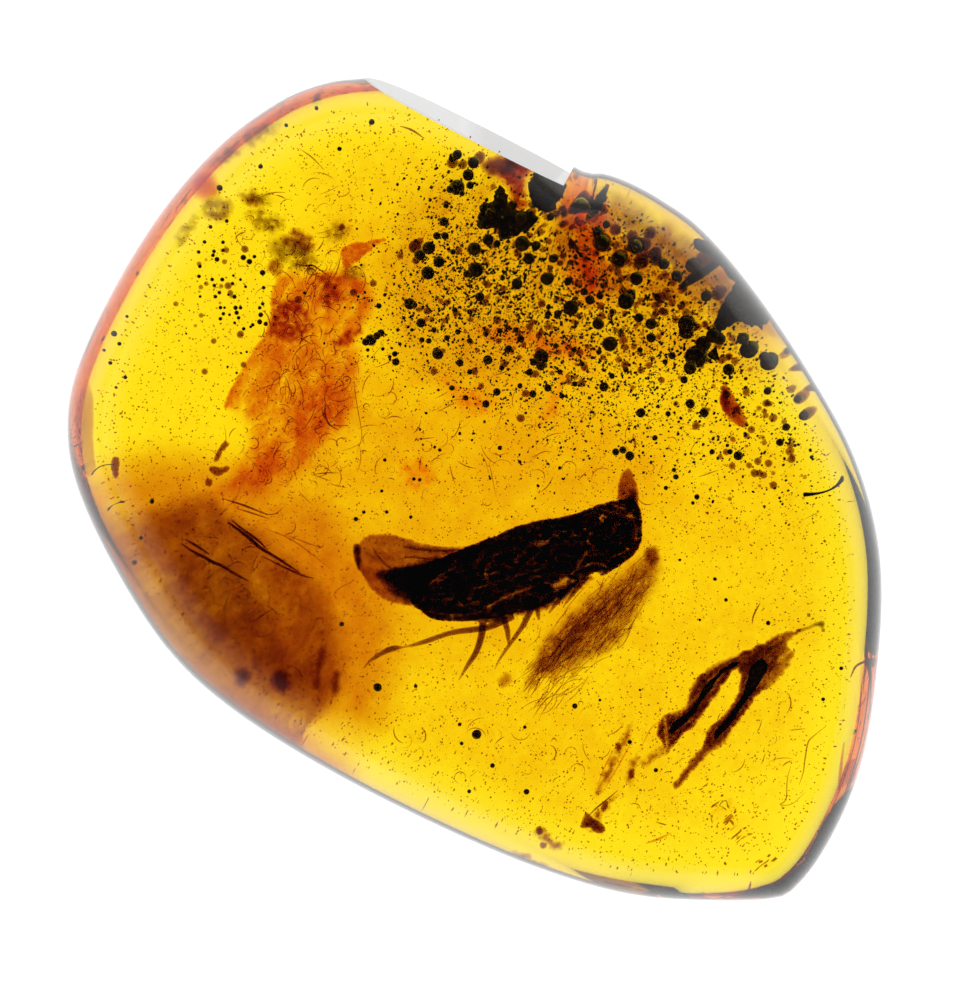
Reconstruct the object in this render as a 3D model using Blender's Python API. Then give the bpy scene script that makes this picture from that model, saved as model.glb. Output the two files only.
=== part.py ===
"""Polished amber pebble with a planthopper and other inclusions sealed in it.

The pebble lies on a ground flat, as it would on a light table. X points right and Y up as the
pebble is looked down on, Z points up, and the origin is the middle of the pebble's box, at the
height it rests on. The clear resin is parted in two along the flow seam that the inclusions lie
on, so that each of them is its own solid in a pocket. Blender's units are metres, and the
shapes below are given in millimetres.
"""

from functools import lru_cache

import bmesh
import bpy
import numpy as np
from mathutils import Vector, noise

MM = 0.001

# The pebble's outline seen from above: (x, y), counter-clockwise from its right-hand side.
PEBBLE_OUTLINE = (
    (8.12, -2.40), (8.01, -0.80), (7.52, 0.80), (6.64, 2.40), (5.56, 4.00), (4.55, 5.18),
    (3.74, 5.78), (3.10, 6.13), (2.60, 6.31), (2.12, 6.38), (1.30, 6.98), (0.20, 7.62), (-0.85, 8.05),
    (-1.70, 8.20), (-2.35, 8.20), (-3.02, 8.10), (-3.90, 7.74), (-5.07, 6.88), (-6.20, 5.60),
    (-7.20, 4.00), (-7.93, 2.40), (-8.12, 1.20), (-7.90, 0.00), (-7.15, -1.60), (-6.10, -3.20),
    (-4.82, -4.38), (-2.88, -5.60), (-0.50, -6.80), (1.50, -7.62), (3.20, -8.08), (4.90, -8.19),
    (5.98, -8.14), (6.40, -7.93), (6.96, -7.20), (7.54, -6.00), (7.90, -4.60),
)
OUTLINE_SAMPLES = 84
PEBBLE_CENTRE = (0.30, -0.15)
CROWN_HEIGHT = 4.0
GIRDLE_HEIGHT = 3.0
KEEL_DEPTH = 3.3  # how deep the underside would reach below the girdle before it was ground flat
CROWN_FULLNESS = 2.9  # exponent of the upper side's profile: 2 is an ellipse, more is boxier
KEEL_FULLNESS = 2.7
CROWN_RINGS = 11
KEEL_RINGS = 8
SMALLEST_RING = 0.12  # share of the outline left at the ring round the crown's pole
CROWN_TILT = (-0.012, 0.016)  # how the crown's height changes per millimetre along X and Y

# The flat ground at the upper right edge: two points of its outer line, the height they are
# at, and how far the flat leans inward for each millimetre of height. It ends in a small step.
FLAT_START = (-1.46, 8.16)
FLAT_END = (1.98, 6.42)
FLAT_FOOT = 1.6
FLAT_LEAN = 0.13
GRINDER_REACH = 4.0

# The seam that the halves part at, and the room round each inclusion.
SEAM_HEIGHT = 3.4
SEAM_GAP = 0.10
POCKET_ROOM = 0.10

# The inclusions' places and widths are given as they look from straight above. The domed crown
# bends the view, so each is set in by what it refracts.
EYE_HEIGHT = 140.0
AMBER_IOR = 1.54

# Swept forms: stations (x, y, depth, half width, half thickness), with depth counted up from
# the seam. The planthopper lies on its side, its head to the right and its back up.
BODY = (
    (-1.92, -1.66, 0.0, 0.06, 0.05), (-1.60, -1.80, 0.0, 0.18, 0.14), (-1.15, -1.94, 0.0, 0.46, 0.28),
    (-0.60, -1.97, 0.0, 0.66, 0.40), (0.00, -1.86, 0.0, 0.79, 0.50), (0.60, -1.70, 0.0, 0.85, 0.57),
    (1.20, -1.52, 0.0, 0.85, 0.60), (1.80, -1.33, 0.0, 0.78, 0.60), (2.40, -1.08, 0.0, 0.72, 0.56),
    (2.90, -0.89, 0.0, 0.63, 0.48), (3.22, -0.80, 0.0, 0.46, 0.36), (3.36, -0.76, 0.0, 0.24, 0.18),
)
WING_TIP = (
    (-2.40, -1.36, 0.06, 0.14, 0.04), (-2.20, -1.35, 0.07, 0.36, 0.06),
    (-1.90, -1.42, 0.08, 0.54, 0.08), (-1.50, -1.56, 0.09, 0.62, 0.10),
    (-1.00, -1.72, 0.10, 0.62, 0.13), (-0.30, -1.84, 0.10, 0.52, 0.16),
)
RAISED_FLAP = (
    (3.02, -0.60, 0.02, 0.24, 0.08), (3.10, -0.20, 0.03, 0.24, 0.07), (3.10, 0.10, 0.04, 0.20, 0.06),
    (3.04, 0.30, 0.05, 0.11, 0.05), (3.00, 0.42, 0.05, 0.04, 0.04),
)
LEGS = (
    (
        (0.80, -2.35, 0.20, 0.10, 0.10), (0.47, -2.66, 0.24, 0.09, 0.09),
        (0.07, -2.80, 0.24, 0.08, 0.08), (-0.85, -2.98, 0.18, 0.06, 0.06),
        (-1.73, -3.21, 0.12, 0.06, 0.06), (-2.01, -3.34, 0.09, 0.05, 0.05),
        (-2.17, -3.48, 0.08, 0.04, 0.04),
    ),
    (
        (0.16, -2.30, -0.20, 0.10, 0.10), (0.15, -2.88, -0.24, 0.08, 0.08),
        (0.13, -3.21, -0.20, 0.07, 0.07), (0.01, -3.40, -0.16, 0.06, 0.06),
        (-0.28, -3.76, -0.12, 0.04, 0.04),
    ),
    (
        (1.10, -2.25, 0.10, 0.09, 0.09), (1.05, -2.56, 0.12, 0.07, 0.07),
        (0.85, -2.94, 0.10, 0.06, 0.06), (0.43, -3.48, 0.08, 0.04, 0.04),
    ),
    (
        (0.55, -2.35, -0.12, 0.08, 0.08), (0.58, -2.66, -0.14, 0.06, 0.06),
        (0.72, -2.98, -0.06, 0.05, 0.05),
    ),
)
SPLINTER_UPPER_ARM = (
    (6.92, -2.63, 0.04, 0.04, 0.04), (6.45, -2.84, 0.03, 0.09, 0.07),
    (6.12, -3.10, 0.02, 0.24, 0.14), (5.62, -3.34, 0.0, 0.30, 0.17),
    (5.06, -3.62, 0.0, 0.27, 0.17), (4.64, -4.00, 0.0, 0.27, 0.17),
    (4.30, -4.48, 0.0, 0.27, 0.15), (3.96, -4.84, 0.0, 0.26, 0.12), (3.74, -5.08, 0.0, 0.14, 0.08),
)
SPLINTER_LOWER_ARM = (
    (6.20, -3.20, 0.0, 0.14, 0.12), (5.84, -3.66, 0.0, 0.28, 0.16),
    (5.40, -4.14, 0.0, 0.24, 0.15), (5.00, -4.64, -0.02, 0.24, 0.14),
    (4.62, -5.12, -0.03, 0.19, 0.11), (4.30, -5.56, -0.04, 0.13, 0.08),
    (4.06, -5.90, -0.05, 0.07, 0.05),
)
TORN_MEMBRANE = (
    (3.66, -1.12, 0.0, 0.12, 0.08), (3.58, -1.28, 0.0, 0.16, 0.09), (3.40, -1.62, 0.0, 0.20, 0.08),
    (3.02, -2.10, 0.0, 0.34, 0.07), (2.44, -2.78, 0.0, 0.46, 0.06), (1.82, -3.40, 0.0, 0.46, 0.06),
    (1.38, -3.86, 0.0, 0.32, 0.05),
)
LEAF_FLAKE = (
    (5.06, 2.02, 0.0, 0.08, 0.04), (5.12, 1.78, 0.02, 0.20, 0.06), (5.26, 1.46, 0.03, 0.18, 0.06),
    (5.36, 1.24, 0.03, 0.07, 0.04),
)

# Lumps of charred bark: (x, y, depth) of each rounded lobe, and its (x, y, z) half sizes.
BARK_LOBES = (
    ((0.62, 5.50, 0.0), (0.54, 0.46, 0.40)),
    ((1.40, 5.92, 0.05), (0.36, 0.38, 0.30)),
)
EDGE_BARK_LOBES = (
    ((5.38, 3.66, 0.0), (0.36, 0.40, 0.30)),
    ((5.10, 3.98, 0.0), (0.24, 0.24, 0.22)),
)
LOBE_ROUGHNESS = 0.16  # how far a lobe's surface wanders, as a share of its size
LOBE_GRAIN = 2.6  # bumps per millimetre


def curve_through(points, steps, closed=False):
    """Rows on the Catmull-Rom curve through rows of numbers, with some steps between each two."""
    points = np.asarray(points, float)
    if closed:
        before, after, beyond = np.roll(points, 1, 0), np.roll(points, -1, 0), np.roll(points, -2, 0)
        starts = points
    else:
        starts, after = points[:-1], points[1:]
        before = np.vstack([points[:1], points[:-2]])
        beyond = np.vstack([points[2:], points[-1:]])
    rows = []
    for p0, p1, p2, p3 in zip(before, starts, after, beyond):
        for t in np.arange(steps) / steps:
            rows.append(
                p1
                + 0.5 * t * (p2 - p0)
                + t * t * (p0 - 2.5 * p1 + 2 * p2 - 0.5 * p3)
                + 0.5 * t**3 * (3 * p1 - p0 - 3 * p2 + p3)
            )
    if not closed:
        rows.append(points[-1])
    return np.array(rows)


def spread_evenly(loop, count):
    """As many points as asked for, evenly spread along a closed line."""
    ends = np.vstack([loop, loop[:1]])
    along = np.concatenate([[0], np.cumsum(np.linalg.norm(np.diff(ends, axis=0), axis=1))])
    wanted = along[-1] * np.arange(count) / count
    return np.column_stack([np.interp(wanted, along, ends[:, axis]) for axis in range(2)])


@lru_cache
def outline():
    """The pebble's rim, evenly sampled."""
    return spread_evenly(curve_through(PEBBLE_OUTLINE, 6, closed=True), OUTLINE_SAMPLES)


def crown_height(x, y):
    """How high the crown is over a place."""
    rim = outline() - PEBBLE_CENTRE
    offset = np.array((x, y)) - PEBBLE_CENTRE
    turns, reaches = np.arctan2(rim[:, 1], rim[:, 0]), np.hypot(rim[:, 0], rim[:, 1])
    reach = np.interp(np.arctan2(offset[1], offset[0]), turns, reaches, period=2 * np.pi)
    share = min(np.hypot(*offset) / reach, 0.99)
    rise = (1 - share**CROWN_FULLNESS) ** (1 / CROWN_FULLNESS)
    return GIRDLE_HEIGHT + rise * (CROWN_HEIGHT + np.dot(CROWN_TILT, (x, y)))


def under_crown(x, y, depth):
    """Where a thing lies that looks, from straight above, to be at a place of the girdle's plane."""
    eye = np.array((0, 0, EYE_HEIGHT))
    ray = np.array((x, y, GIRDLE_HEIGHT)) - eye
    ray /= np.linalg.norm(ray)
    hit = eye + ray * (crown_height(x, y) - EYE_HEIGHT) / ray[2]
    step = 0.15
    slope_x = (crown_height(hit[0] + step, hit[1]) - crown_height(hit[0] - step, hit[1])) / (2 * step)
    slope_y = (crown_height(hit[0], hit[1] + step) - crown_height(hit[0], hit[1] - step)) / (2 * step)
    normal = np.array((-slope_x, -slope_y, 1)) / np.sqrt(1 + slope_x**2 + slope_y**2)
    facing = -normal @ ray
    bent = ray / AMBER_IOR + normal * (
        facing / AMBER_IOR - np.sqrt(1 - (1 - facing**2) / AMBER_IOR**2)
    )
    return hit + bent * (SEAM_HEIGHT + depth - hit[2]) / bent[2]


def settled(stations):
    """Stations as they look from above, moved to where they lie and narrowed as the crown magnifies."""
    rows = []
    for x, y, depth, half_width, half_thickness in stations:
        place = under_crown(x, y, depth)
        beside, beyond = under_crown(x + 0.2, y, depth), under_crown(x, y + 0.2, depth)
        shrink = (np.linalg.norm(beside - place) + np.linalg.norm(beyond - place)) / 0.4
        rows.append((*place, half_width * shrink, half_thickness))
    return rows


def add_object(name, bm, material=None, hidden=False):
    """The finished mesh as an object at the origin, with metres for millimetres."""
    bmesh.ops.scale(bm, vec=(MM, MM, MM), verts=bm.verts)
    bmesh.ops.recalc_face_normals(bm, faces=bm.faces)
    mesh = bpy.data.meshes.new(name)
    bm.to_mesh(mesh)
    bm.free()
    mesh.shade_smooth()
    mesh.set_sharp_from_angle(angle=np.radians(40))
    obj = bpy.data.objects.new(name, mesh)
    bpy.context.collection.objects.link(obj)
    if material:
        mesh.materials.append(material)
    if hidden:
        obj.hide_render = True
        obj.display_type = "WIRE"
    return obj


def skin_rings(bm, rings):
    """Closed side walls between rings of equal count, and an end face on the first and last."""
    loops = [[bm.verts.new(point) for point in ring] for ring in rings]
    for lower, upper in zip(loops, loops[1:]):
        for i in range(len(lower)):
            j = (i + 1) % len(lower)
            bm.faces.new((lower[i], lower[j], upper[j], upper[i]))
    bm.faces.new(loops[0])
    bm.faces.new(loops[-1])


def pebble_rings():
    """Level rings of the pebble, from the face that it rests on up to the ring round its pole."""
    rim = outline()
    centre = np.array(PEBBLE_CENTRE)
    ground = (GIRDLE_HEIGHT / KEEL_DEPTH) ** (KEEL_FULLNESS / 2)
    levels = []
    for rise in np.linspace(-np.arcsin(ground), 0, KEEL_RINGS, endpoint=False):
        share = np.cos(rise) ** (2 / KEEL_FULLNESS)
        levels.append((share, GIRDLE_HEIGHT - KEEL_DEPTH * np.sin(-rise) ** (2 / KEEL_FULLNESS)))
    last = np.arccos(SMALLEST_RING ** (CROWN_FULLNESS / 2))
    for rise in np.linspace(0, last, CROWN_RINGS):
        share = np.cos(rise) ** (2 / CROWN_FULLNESS)
        levels.append((share, GIRDLE_HEIGHT + CROWN_HEIGHT * np.sin(rise) ** (2 / CROWN_FULLNESS)))
    rings = []
    for share, height in levels:
        level = centre + share * (rim - centre)
        rise = max(0.0, height - GIRDLE_HEIGHT) / CROWN_HEIGHT
        rings.append(np.column_stack([level, height + rise * (level @ np.array(CROWN_TILT))]))
    return rings


def pebble_half(name, material, keep_upper):
    """The pebble on one side of the seam, which is flat."""
    bm = bmesh.new()
    skin_rings(bm, pebble_rings())
    side = 1 if keep_upper else -1
    seam = (0, 0, SEAM_HEIGHT + side * SEAM_GAP / 2)
    parts = bm.verts[:] + bm.edges[:] + bm.faces[:]
    made = bmesh.ops.bisect_plane(
        bm, geom=parts, dist=1e-6, plane_co=seam, plane_no=(0, 0, -side), clear_outer=True
    )
    rim = [part for part in made["geom_cut"] if isinstance(part, bmesh.types.BMEdge)]
    bmesh.ops.edgeloop_fill(bm, edges=rim)
    return add_object(name, bm, material)


def edge_grinder():
    """The block of space that the flat at the edge is ground away by."""
    start, end = np.array(FLAT_START), np.array(FLAT_END)
    along = (end - start) / np.linalg.norm(end - start)
    outward = np.array((-along[1], along[0]))
    rings = []
    for height in (-GRINDER_REACH, 3 * GRINDER_REACH):
        inner = outward * FLAT_LEAN * (FLAT_FOOT - height)
        outer = inner + outward * GRINDER_REACH
        corners = (start - along * GRINDER_REACH + inner, end + inner, end + outer)
        corners += (start - along * GRINDER_REACH + outer,)
        rings.append([(*corner, height) for corner in corners])
    bm = bmesh.new()
    skin_rings(bm, rings)
    return add_object("edge_grinder", bm, hidden=True)


def sweep(name, stations, sides, steps, room=0.0, material=None, hidden=True):
    """A closed form swept through its stations, grown all over by some room."""
    rows = curve_through(settled(stations), steps)
    centres = rows[:, :3]
    tangents = np.gradient(centres, axis=0)
    tangents /= np.linalg.norm(tangents, axis=1)[:, None]
    centres[0] -= room * tangents[0]
    centres[-1] += room * tangents[-1]
    across = np.cross((0, 0, 1), tangents)
    across /= np.linalg.norm(across, axis=1)[:, None]
    upward = np.cross(tangents, across)
    turns = 2 * np.pi * np.arange(sides) / sides
    rings = []
    for centre, side, top, row in zip(centres, across, upward, rows):
        rings.append(
            centre
            + np.outer(np.cos(turns) * (row[3] + room), side)
            + np.outer(np.sin(turns) * (row[4] + room), top)
        )
    bm = bmesh.new()
    skin_rings(bm, rings)
    return add_object(name, bm, material, hidden)


def lobe(name, centre, half_sizes, room=0.0, material=None, hidden=True):
    """One rounded, uneven lobe of a lump."""
    bm = bmesh.new()
    bmesh.ops.create_icosphere(bm, subdivisions=2, radius=1)
    middle = Vector(under_crown(*centre))
    for vert in bm.verts:
        point = Vector([direction * size for direction, size in zip(vert.co, half_sizes)])
        swell = 1 + LOBE_ROUGHNESS * noise.noise((middle + point) * LOBE_GRAIN)
        vert.co = middle + point * swell + vert.co.normalized() * room
    return add_object(name, bm, material, hidden)


def fuse(base, others):
    """Joins closed forms that overlap into one solid."""
    for other in others:
        joint = base.modifiers.new("Fuse " + other.name, "BOOLEAN")
        joint.operation = "UNION"
        joint.object = other
    return base


def planthopper(name, room=0.0, material=None, hidden=True):
    body = sweep(name, BODY, 14, 1, room, material, hidden)
    grown = [
        sweep(name + "_wing_tip", WING_TIP, 10, 1, room),
        sweep(name + "_raised_flap", RAISED_FLAP, 8, 1, room),
    ]
    for number, leg in enumerate(LEGS, 1):
        grown.append(sweep(f"{name}_leg_{number}", leg, 6, 2, room))
    return fuse(body, grown)


def plant_splinter(name, room=0.0, material=None, hidden=True):
    upper = sweep(name, SPLINTER_UPPER_ARM, 8, 2, room, material, hidden)
    return fuse(upper, [sweep(name + "_lower_arm", SPLINTER_LOWER_ARM, 8, 2, room)])


def torn_membrane(name, room=0.0, material=None, hidden=True):
    return sweep(name, TORN_MEMBRANE, 8, 2, room, material, hidden)


def leaf_flake(name, room=0.0, material=None, hidden=True):
    return sweep(name, LEAF_FLAKE, 8, 2, room, material, hidden)


def bark_lump(name, lobes, room, material, hidden):
    (centre, half_sizes), *others = lobes
    first = lobe(name, centre, half_sizes, room, material, hidden)
    return fuse(first, [lobe(f"{name}_lobe_{i}", *other, room) for i, other in enumerate(others, 2)])


def bark_char(name, room=0.0, material=None, hidden=True):
    return bark_lump(name, BARK_LOBES, room, material, hidden)


def edge_bark_char(name, room=0.0, material=None, hidden=True):
    return bark_lump(name, EDGE_BARK_LOBES, room, material, hidden)


def principled(name, colour, roughness, transmission=0.0):
    material = bpy.data.materials.new(name)
    material.use_nodes = True
    shader = material.node_tree.nodes["Principled BSDF"]
    shader.inputs["Base Color"].default_value = (*colour, 1)
    shader.inputs["Roughness"].default_value = roughness
    shader.inputs["Metallic"].default_value = 0
    shader.inputs["Transmission Weight"].default_value = transmission
    material.diffuse_color = (*colour, 1)
    return material


def clear_scene():
    for obj in list(bpy.data.objects):
        bpy.data.objects.remove(obj, do_unlink=True)


def build():
    clear_scene()
    resin = principled("clear_amber", (0.95, 0.62, 0.03), 0.05, transmission=1.0)
    inclusions = {
        planthopper: principled("dark_chitin", (0.020, 0.008, 0.004), 0.35),
        plant_splinter: principled("brown_wood", (0.060, 0.020, 0.008), 0.55),
        torn_membrane: principled("brown_membrane", (0.230, 0.080, 0.015), 0.50),
        leaf_flake: principled("brown_leaf", (0.200, 0.060, 0.012), 0.55),
        bark_char: principled("black_char", (0.012, 0.008, 0.005), 0.60),
        edge_bark_char: principled("black_char_at_edge", (0.012, 0.008, 0.005), 0.60),
    }
    halves = [pebble_half("amber_upper", resin, True), pebble_half("amber_lower", resin.copy(), False)]
    grinder = edge_grinder()
    for half in halves:
        flat = half.modifiers.new("Flat at the edge", "BOOLEAN")
        flat.operation = "DIFFERENCE"
        flat.object = grinder
    for make, material in inclusions.items():
        make(make.__name__, 0.0, material, hidden=False)
        pocket = make(make.__name__ + "_pocket", POCKET_ROOM)
        for half in halves:
            hollow = half.modifiers.new("Pocket of " + make.__name__, "BOOLEAN")
            hollow.operation = "DIFFERENCE"
            hollow.object = pocket


build()
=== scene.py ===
"""A polished amber pebble with a planthopper sealed in it, lying on a light table.

The pebble and what it holds are made in millimetres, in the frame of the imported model: X towards
the insect's head, Y towards its back, Z up, with the pebble's flat underside on Z = 0.
"""

import bmesh
import bpy
import numpy as np
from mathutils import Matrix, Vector, noise
from mathutils.geometry import delaunay_2d_cdt
from mathutils.kdtree import KDTree


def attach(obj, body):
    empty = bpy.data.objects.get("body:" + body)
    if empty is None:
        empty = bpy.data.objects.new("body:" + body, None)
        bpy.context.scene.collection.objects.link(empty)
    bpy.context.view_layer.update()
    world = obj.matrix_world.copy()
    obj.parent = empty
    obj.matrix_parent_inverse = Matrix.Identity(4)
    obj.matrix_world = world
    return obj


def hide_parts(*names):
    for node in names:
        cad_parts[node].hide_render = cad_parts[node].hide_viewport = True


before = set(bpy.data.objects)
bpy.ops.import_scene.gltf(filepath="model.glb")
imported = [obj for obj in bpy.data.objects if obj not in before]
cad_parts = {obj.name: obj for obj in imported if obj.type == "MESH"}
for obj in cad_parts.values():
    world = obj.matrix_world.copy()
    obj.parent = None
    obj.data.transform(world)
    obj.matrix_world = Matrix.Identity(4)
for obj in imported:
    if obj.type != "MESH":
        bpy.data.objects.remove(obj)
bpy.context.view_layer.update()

MM = 0.001

# Camera: straight down on the pebble, as the photograph was taken, through a long macro lens.
FRAME_HEIGHT = 19.74  # millimetres that the picture's height covers at the pebble's girdle
FRAME_MIDDLE = (0.31, -0.07)
GIRDLE_HEIGHT = 3.0
LENS = 250.0
SENSOR = 36.0

camera_data = bpy.data.cameras.new("camera")
camera_data.lens = LENS
camera_data.sensor_width = SENSOR
camera_data.clip_start = 0.01
camera_data.clip_end = 2.0
camera = bpy.data.objects.new("camera", camera_data)
camera_range = LENS / SENSOR * FRAME_HEIGHT
camera.location = Vector((*FRAME_MIDDLE, GIRDLE_HEIGHT + camera_range)) * MM
bpy.context.scene.collection.objects.link(camera)
bpy.context.scene.camera = camera

# Light table: an even, pale, glowing pane that the pebble lies on. It is what lights the amber
# through, and everything dark in the amber is dark against it.
TABLE_HALF_SIZE = 400.0
TABLE_DROP = 0.02  # the pane lies this far under the pebble's flat, as dust holds them apart
TABLE_GLOW = 1.13
GLOW_REACH = 12.0  # the lamp under the pane lights it evenly this far out
GLOW_END = 60.0
EDGE_GLOW = 0.40


def linear(colour):
    """The linear RGBA of an sRGB hex colour."""
    channels = [int(colour[i : i + 2], 16) / 255 for i in (1, 3, 5)]
    return (*[c / 12.92 if c <= 0.04045 else ((c + 0.055) / 1.055) ** 2.4 for c in channels], 1.0)


def add_node(tree, kind, links=None, **settings):
    """Adds a node. Settings name its properties or sockets, and links name what feeds its sockets."""
    node = tree.nodes.new(kind)
    for name, value in settings.items():
        if hasattr(node, name):
            setattr(node, name, value)
        else:
            node.inputs[name.replace("_", " ")].default_value = value
    for socket, source in (links or {}).items():
        tree.links.new(source, node.inputs[socket])
    return node


def new_material(name):
    """An empty node material: the material, its node tree and its output node."""
    material = bpy.data.materials.new(name)
    material.use_nodes = True
    tree = material.node_tree
    tree.nodes.clear()
    return material, tree, add_node(tree, "ShaderNodeOutputMaterial")


def frosted_pane():
    """Opal acrylic over a lamp: an even white round the middle, dimmer where the lamp ends."""
    material, tree, output = new_material("opal_acrylic_pane")
    place = add_node(tree, "ShaderNodeTexCoord")
    away = add_node(
        tree, "ShaderNodeVectorMath", {"Vector": place.outputs["Object"]}, operation="LENGTH"
    )
    fade = add_node(
        tree,
        "ShaderNodeMapRange",
        {"Value": away.outputs["Value"]},
        interpolation_type="SMOOTHERSTEP",
        From_Min=GLOW_REACH * MM,
        From_Max=GLOW_END * MM,
        To_Min=TABLE_GLOW,
        To_Max=EDGE_GLOW,
    )
    glow = add_node(
        tree, "ShaderNodeEmission", {"Strength": fade.outputs["Result"]}, Color=linear("#FFFFFF")
    )
    tree.links.new(glow.outputs["Emission"], output.inputs["Surface"])
    return material


bm = bmesh.new()
bmesh.ops.create_grid(bm, x_segments=1, y_segments=1, size=TABLE_HALF_SIZE * MM)
bmesh.ops.translate(bm, vec=(0, 0, -TABLE_DROP * MM), verts=bm.verts)
table_mesh = bpy.data.meshes.new("light_table")
bm.to_mesh(table_mesh)
bm.free()
table_mesh.materials.append(frosted_pane())
light_table = bpy.data.objects.new("light_table", table_mesh)
bpy.context.scene.collection.objects.link(light_table)

# Studio: a pale wall beyond the table's upper left corner, a dim one opposite, and a dark ceiling,
# so that the crown mirrors next to nothing over what lies in the amber.
ROOM_ABOVE = "#303234"
ROOM_HORIZON = "#D8D8DA"
ROOM_DIM = "#3C3A3E"
PALE_WALL_SIDE = (-0.6, 0.6, 0.0)
PALE_WALL_START = 0.8  # the wall is fully pale from this share of the way round to its middle
CEILING_START = 0.35  # the walls have faded into the ceiling at this height of the view


def two_toned(tree, share, dark, pale, start=0.0, end=1.0):
    """A colour that goes from dark to pale while a share rises from start to end."""
    ramp = add_node(tree, "ShaderNodeValToRGB", {"Fac": share})
    for element, place, colour in zip(ramp.color_ramp.elements, (start, end), (dark, pale)):
        element.position = place
        element.color = linear(colour)
    return ramp.outputs["Color"]


world = bpy.data.worlds.new("studio")
world.use_nodes = True
tree = world.node_tree
tree.nodes.clear()
direction = add_node(tree, "ShaderNodeTexCoord")
compass = add_node(tree, "ShaderNodeSeparateXYZ", {"Vector": direction.outputs["Generated"]})
side = add_node(tree, "ShaderNodeVectorMath", operation="DOT_PRODUCT")
side.inputs[1].default_value = PALE_WALL_SIDE
tree.links.new(direction.outputs["Generated"], side.inputs[0])
lit_side = add_node(tree, "ShaderNodeMath", operation="ADD")
lit_side.inputs[1].default_value = 0.5
tree.links.new(side.outputs["Value"], lit_side.inputs[0])
walls = two_toned(tree, lit_side.outputs["Value"], ROOM_DIM, ROOM_HORIZON, end=PALE_WALL_START)
height = add_node(tree, "ShaderNodeMapRange", {"Value": compass.outputs["Z"]})
height.inputs["From Max"].default_value = CEILING_START
paint = add_node(tree, "ShaderNodeMix", {"Factor": height.outputs["Result"]}, data_type="RGBA")
paint.inputs[7].default_value = linear(ROOM_ABOVE)
tree.links.new(walls, paint.inputs[6])
room = add_node(tree, "ShaderNodeBackground", {"Color": paint.outputs[2]})
add_node(tree, "ShaderNodeOutputWorld", {"Surface": room.outputs["Background"]})
bpy.context.scene.world = world

bpy.context.scene.view_settings.view_transform = "Standard"
cycles = bpy.context.scene.cycles
cycles.max_bounces = 24  # light crosses many stains and bubbles on its way through the pebble
cycles.transmission_bounces = 24
cycles.transparent_max_bounces = 24
cycles.glossy_bounces = 4
cycles.diffuse_bounces = 2

# Amber pebble: one piece of clear fossil resin, ground to a cabochon with a flat underside and
# polished. A last flat is ground at its upper right edge. It replaces the two clear halves.
PEBBLE_OUTLINE = (
    (8.12, -2.40), (8.01, -0.80), (7.52, 0.80), (6.64, 2.40), (5.56, 4.00), (4.55, 5.18),
    (3.74, 5.78), (3.10, 6.13), (2.60, 6.31), (2.12, 6.38), (1.30, 6.98), (0.20, 7.62),
    (-0.85, 8.05), (-1.70, 8.20), (-2.35, 8.20), (-3.02, 8.10), (-3.90, 7.74), (-5.07, 6.88),
    (-6.20, 5.60), (-7.20, 4.00), (-7.93, 2.40), (-8.12, 1.20), (-7.90, 0.00), (-7.15, -1.60),
    (-6.10, -3.20), (-4.82, -4.38), (-2.88, -5.60), (-0.50, -6.80), (1.50, -7.62), (3.20, -8.08),
    (4.90, -8.19), (5.98, -8.14), (6.40, -7.93), (6.96, -7.20), (7.54, -6.00), (7.90, -4.60),
)
OUTLINE_SAMPLES = 260
PEBBLE_CENTRE = np.array((0.30, -0.15))
CROWN_HEIGHT = 4.0
KEEL_DEPTH = 3.3
CROWN_FULLNESS = 2.9
KEEL_FULLNESS = 2.7
CROWN_RINGS = 44
KEEL_RINGS = 26
SMALLEST_RING = 0.03
CROWN_TILT = np.array((-0.012, 0.016))
FLAT_START = np.array((-1.46, 8.16))
FLAT_END = np.array((1.98, 6.42))
FLAT_FOOT = 1.6
FLAT_LEAN = 0.13
GRINDER_REACH = 4.0
FLAT_MATCH = 0.999  # cosine within which a face looks the flat's way
FLAT_TOUCH = 2e-5  # metres within which a face lies in the flat
AMBER_IOR = 1.54
AMBER_TINT = "#FFFAB0"  # what is left of white light after a millimetre
POLISH = 0.02  # roughness of the polished dome and underside
GROUND = 0.06  # roughness of the flat, which is polished less finely


def curve_through(points, steps, closed=False):
    """Rows on the Catmull-Rom curve through rows of numbers, with some steps between each two."""
    points = np.asarray(points, float)
    if closed:
        before, after, beyond = np.roll(points, 1, 0), np.roll(points, -1, 0), np.roll(points, -2, 0)
        starts = points
    else:
        starts, after = points[:-1], points[1:]
        before = np.vstack([points[:1], points[:-2]])
        beyond = np.vstack([points[2:], points[-1:]])
    rows = []
    for p0, p1, p2, p3 in zip(before, starts, after, beyond):
        for t in np.arange(steps) / steps:
            rows.append(
                p1
                + 0.5 * t * (p2 - p0)
                + t * t * (p0 - 2.5 * p1 + 2 * p2 - 0.5 * p3)
                + 0.5 * t**3 * (3 * p1 - p0 - 3 * p2 + p3)
            )
    if not closed:
        rows.append(points[-1])
    return np.array(rows)


def spread_evenly(loop, count):
    """As many rows as asked for, evenly spread along a closed line, by its first two columns."""
    ends = np.vstack([loop, loop[:1]])
    along = np.concatenate([[0], np.cumsum(np.linalg.norm(np.diff(ends[:, :2], axis=0), axis=1))])
    wanted = along[-1] * np.arange(count) / count
    return np.column_stack([np.interp(wanted, along, column) for column in ends.T])


def skin(rings):
    """Closed side walls between rings of equal count, and an end face on the first and last."""
    count = len(rings[0])
    faces = [tuple(range(count)), tuple(range((len(rings) - 1) * count, len(rings) * count))]
    for low in range(0, (len(rings) - 1) * count, count):
        for i in range(count):
            j = (i + 1) % count
            faces.append((low + i, low + j, low + count + j, low + count + i))
    return np.vstack(rings), faces


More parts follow.
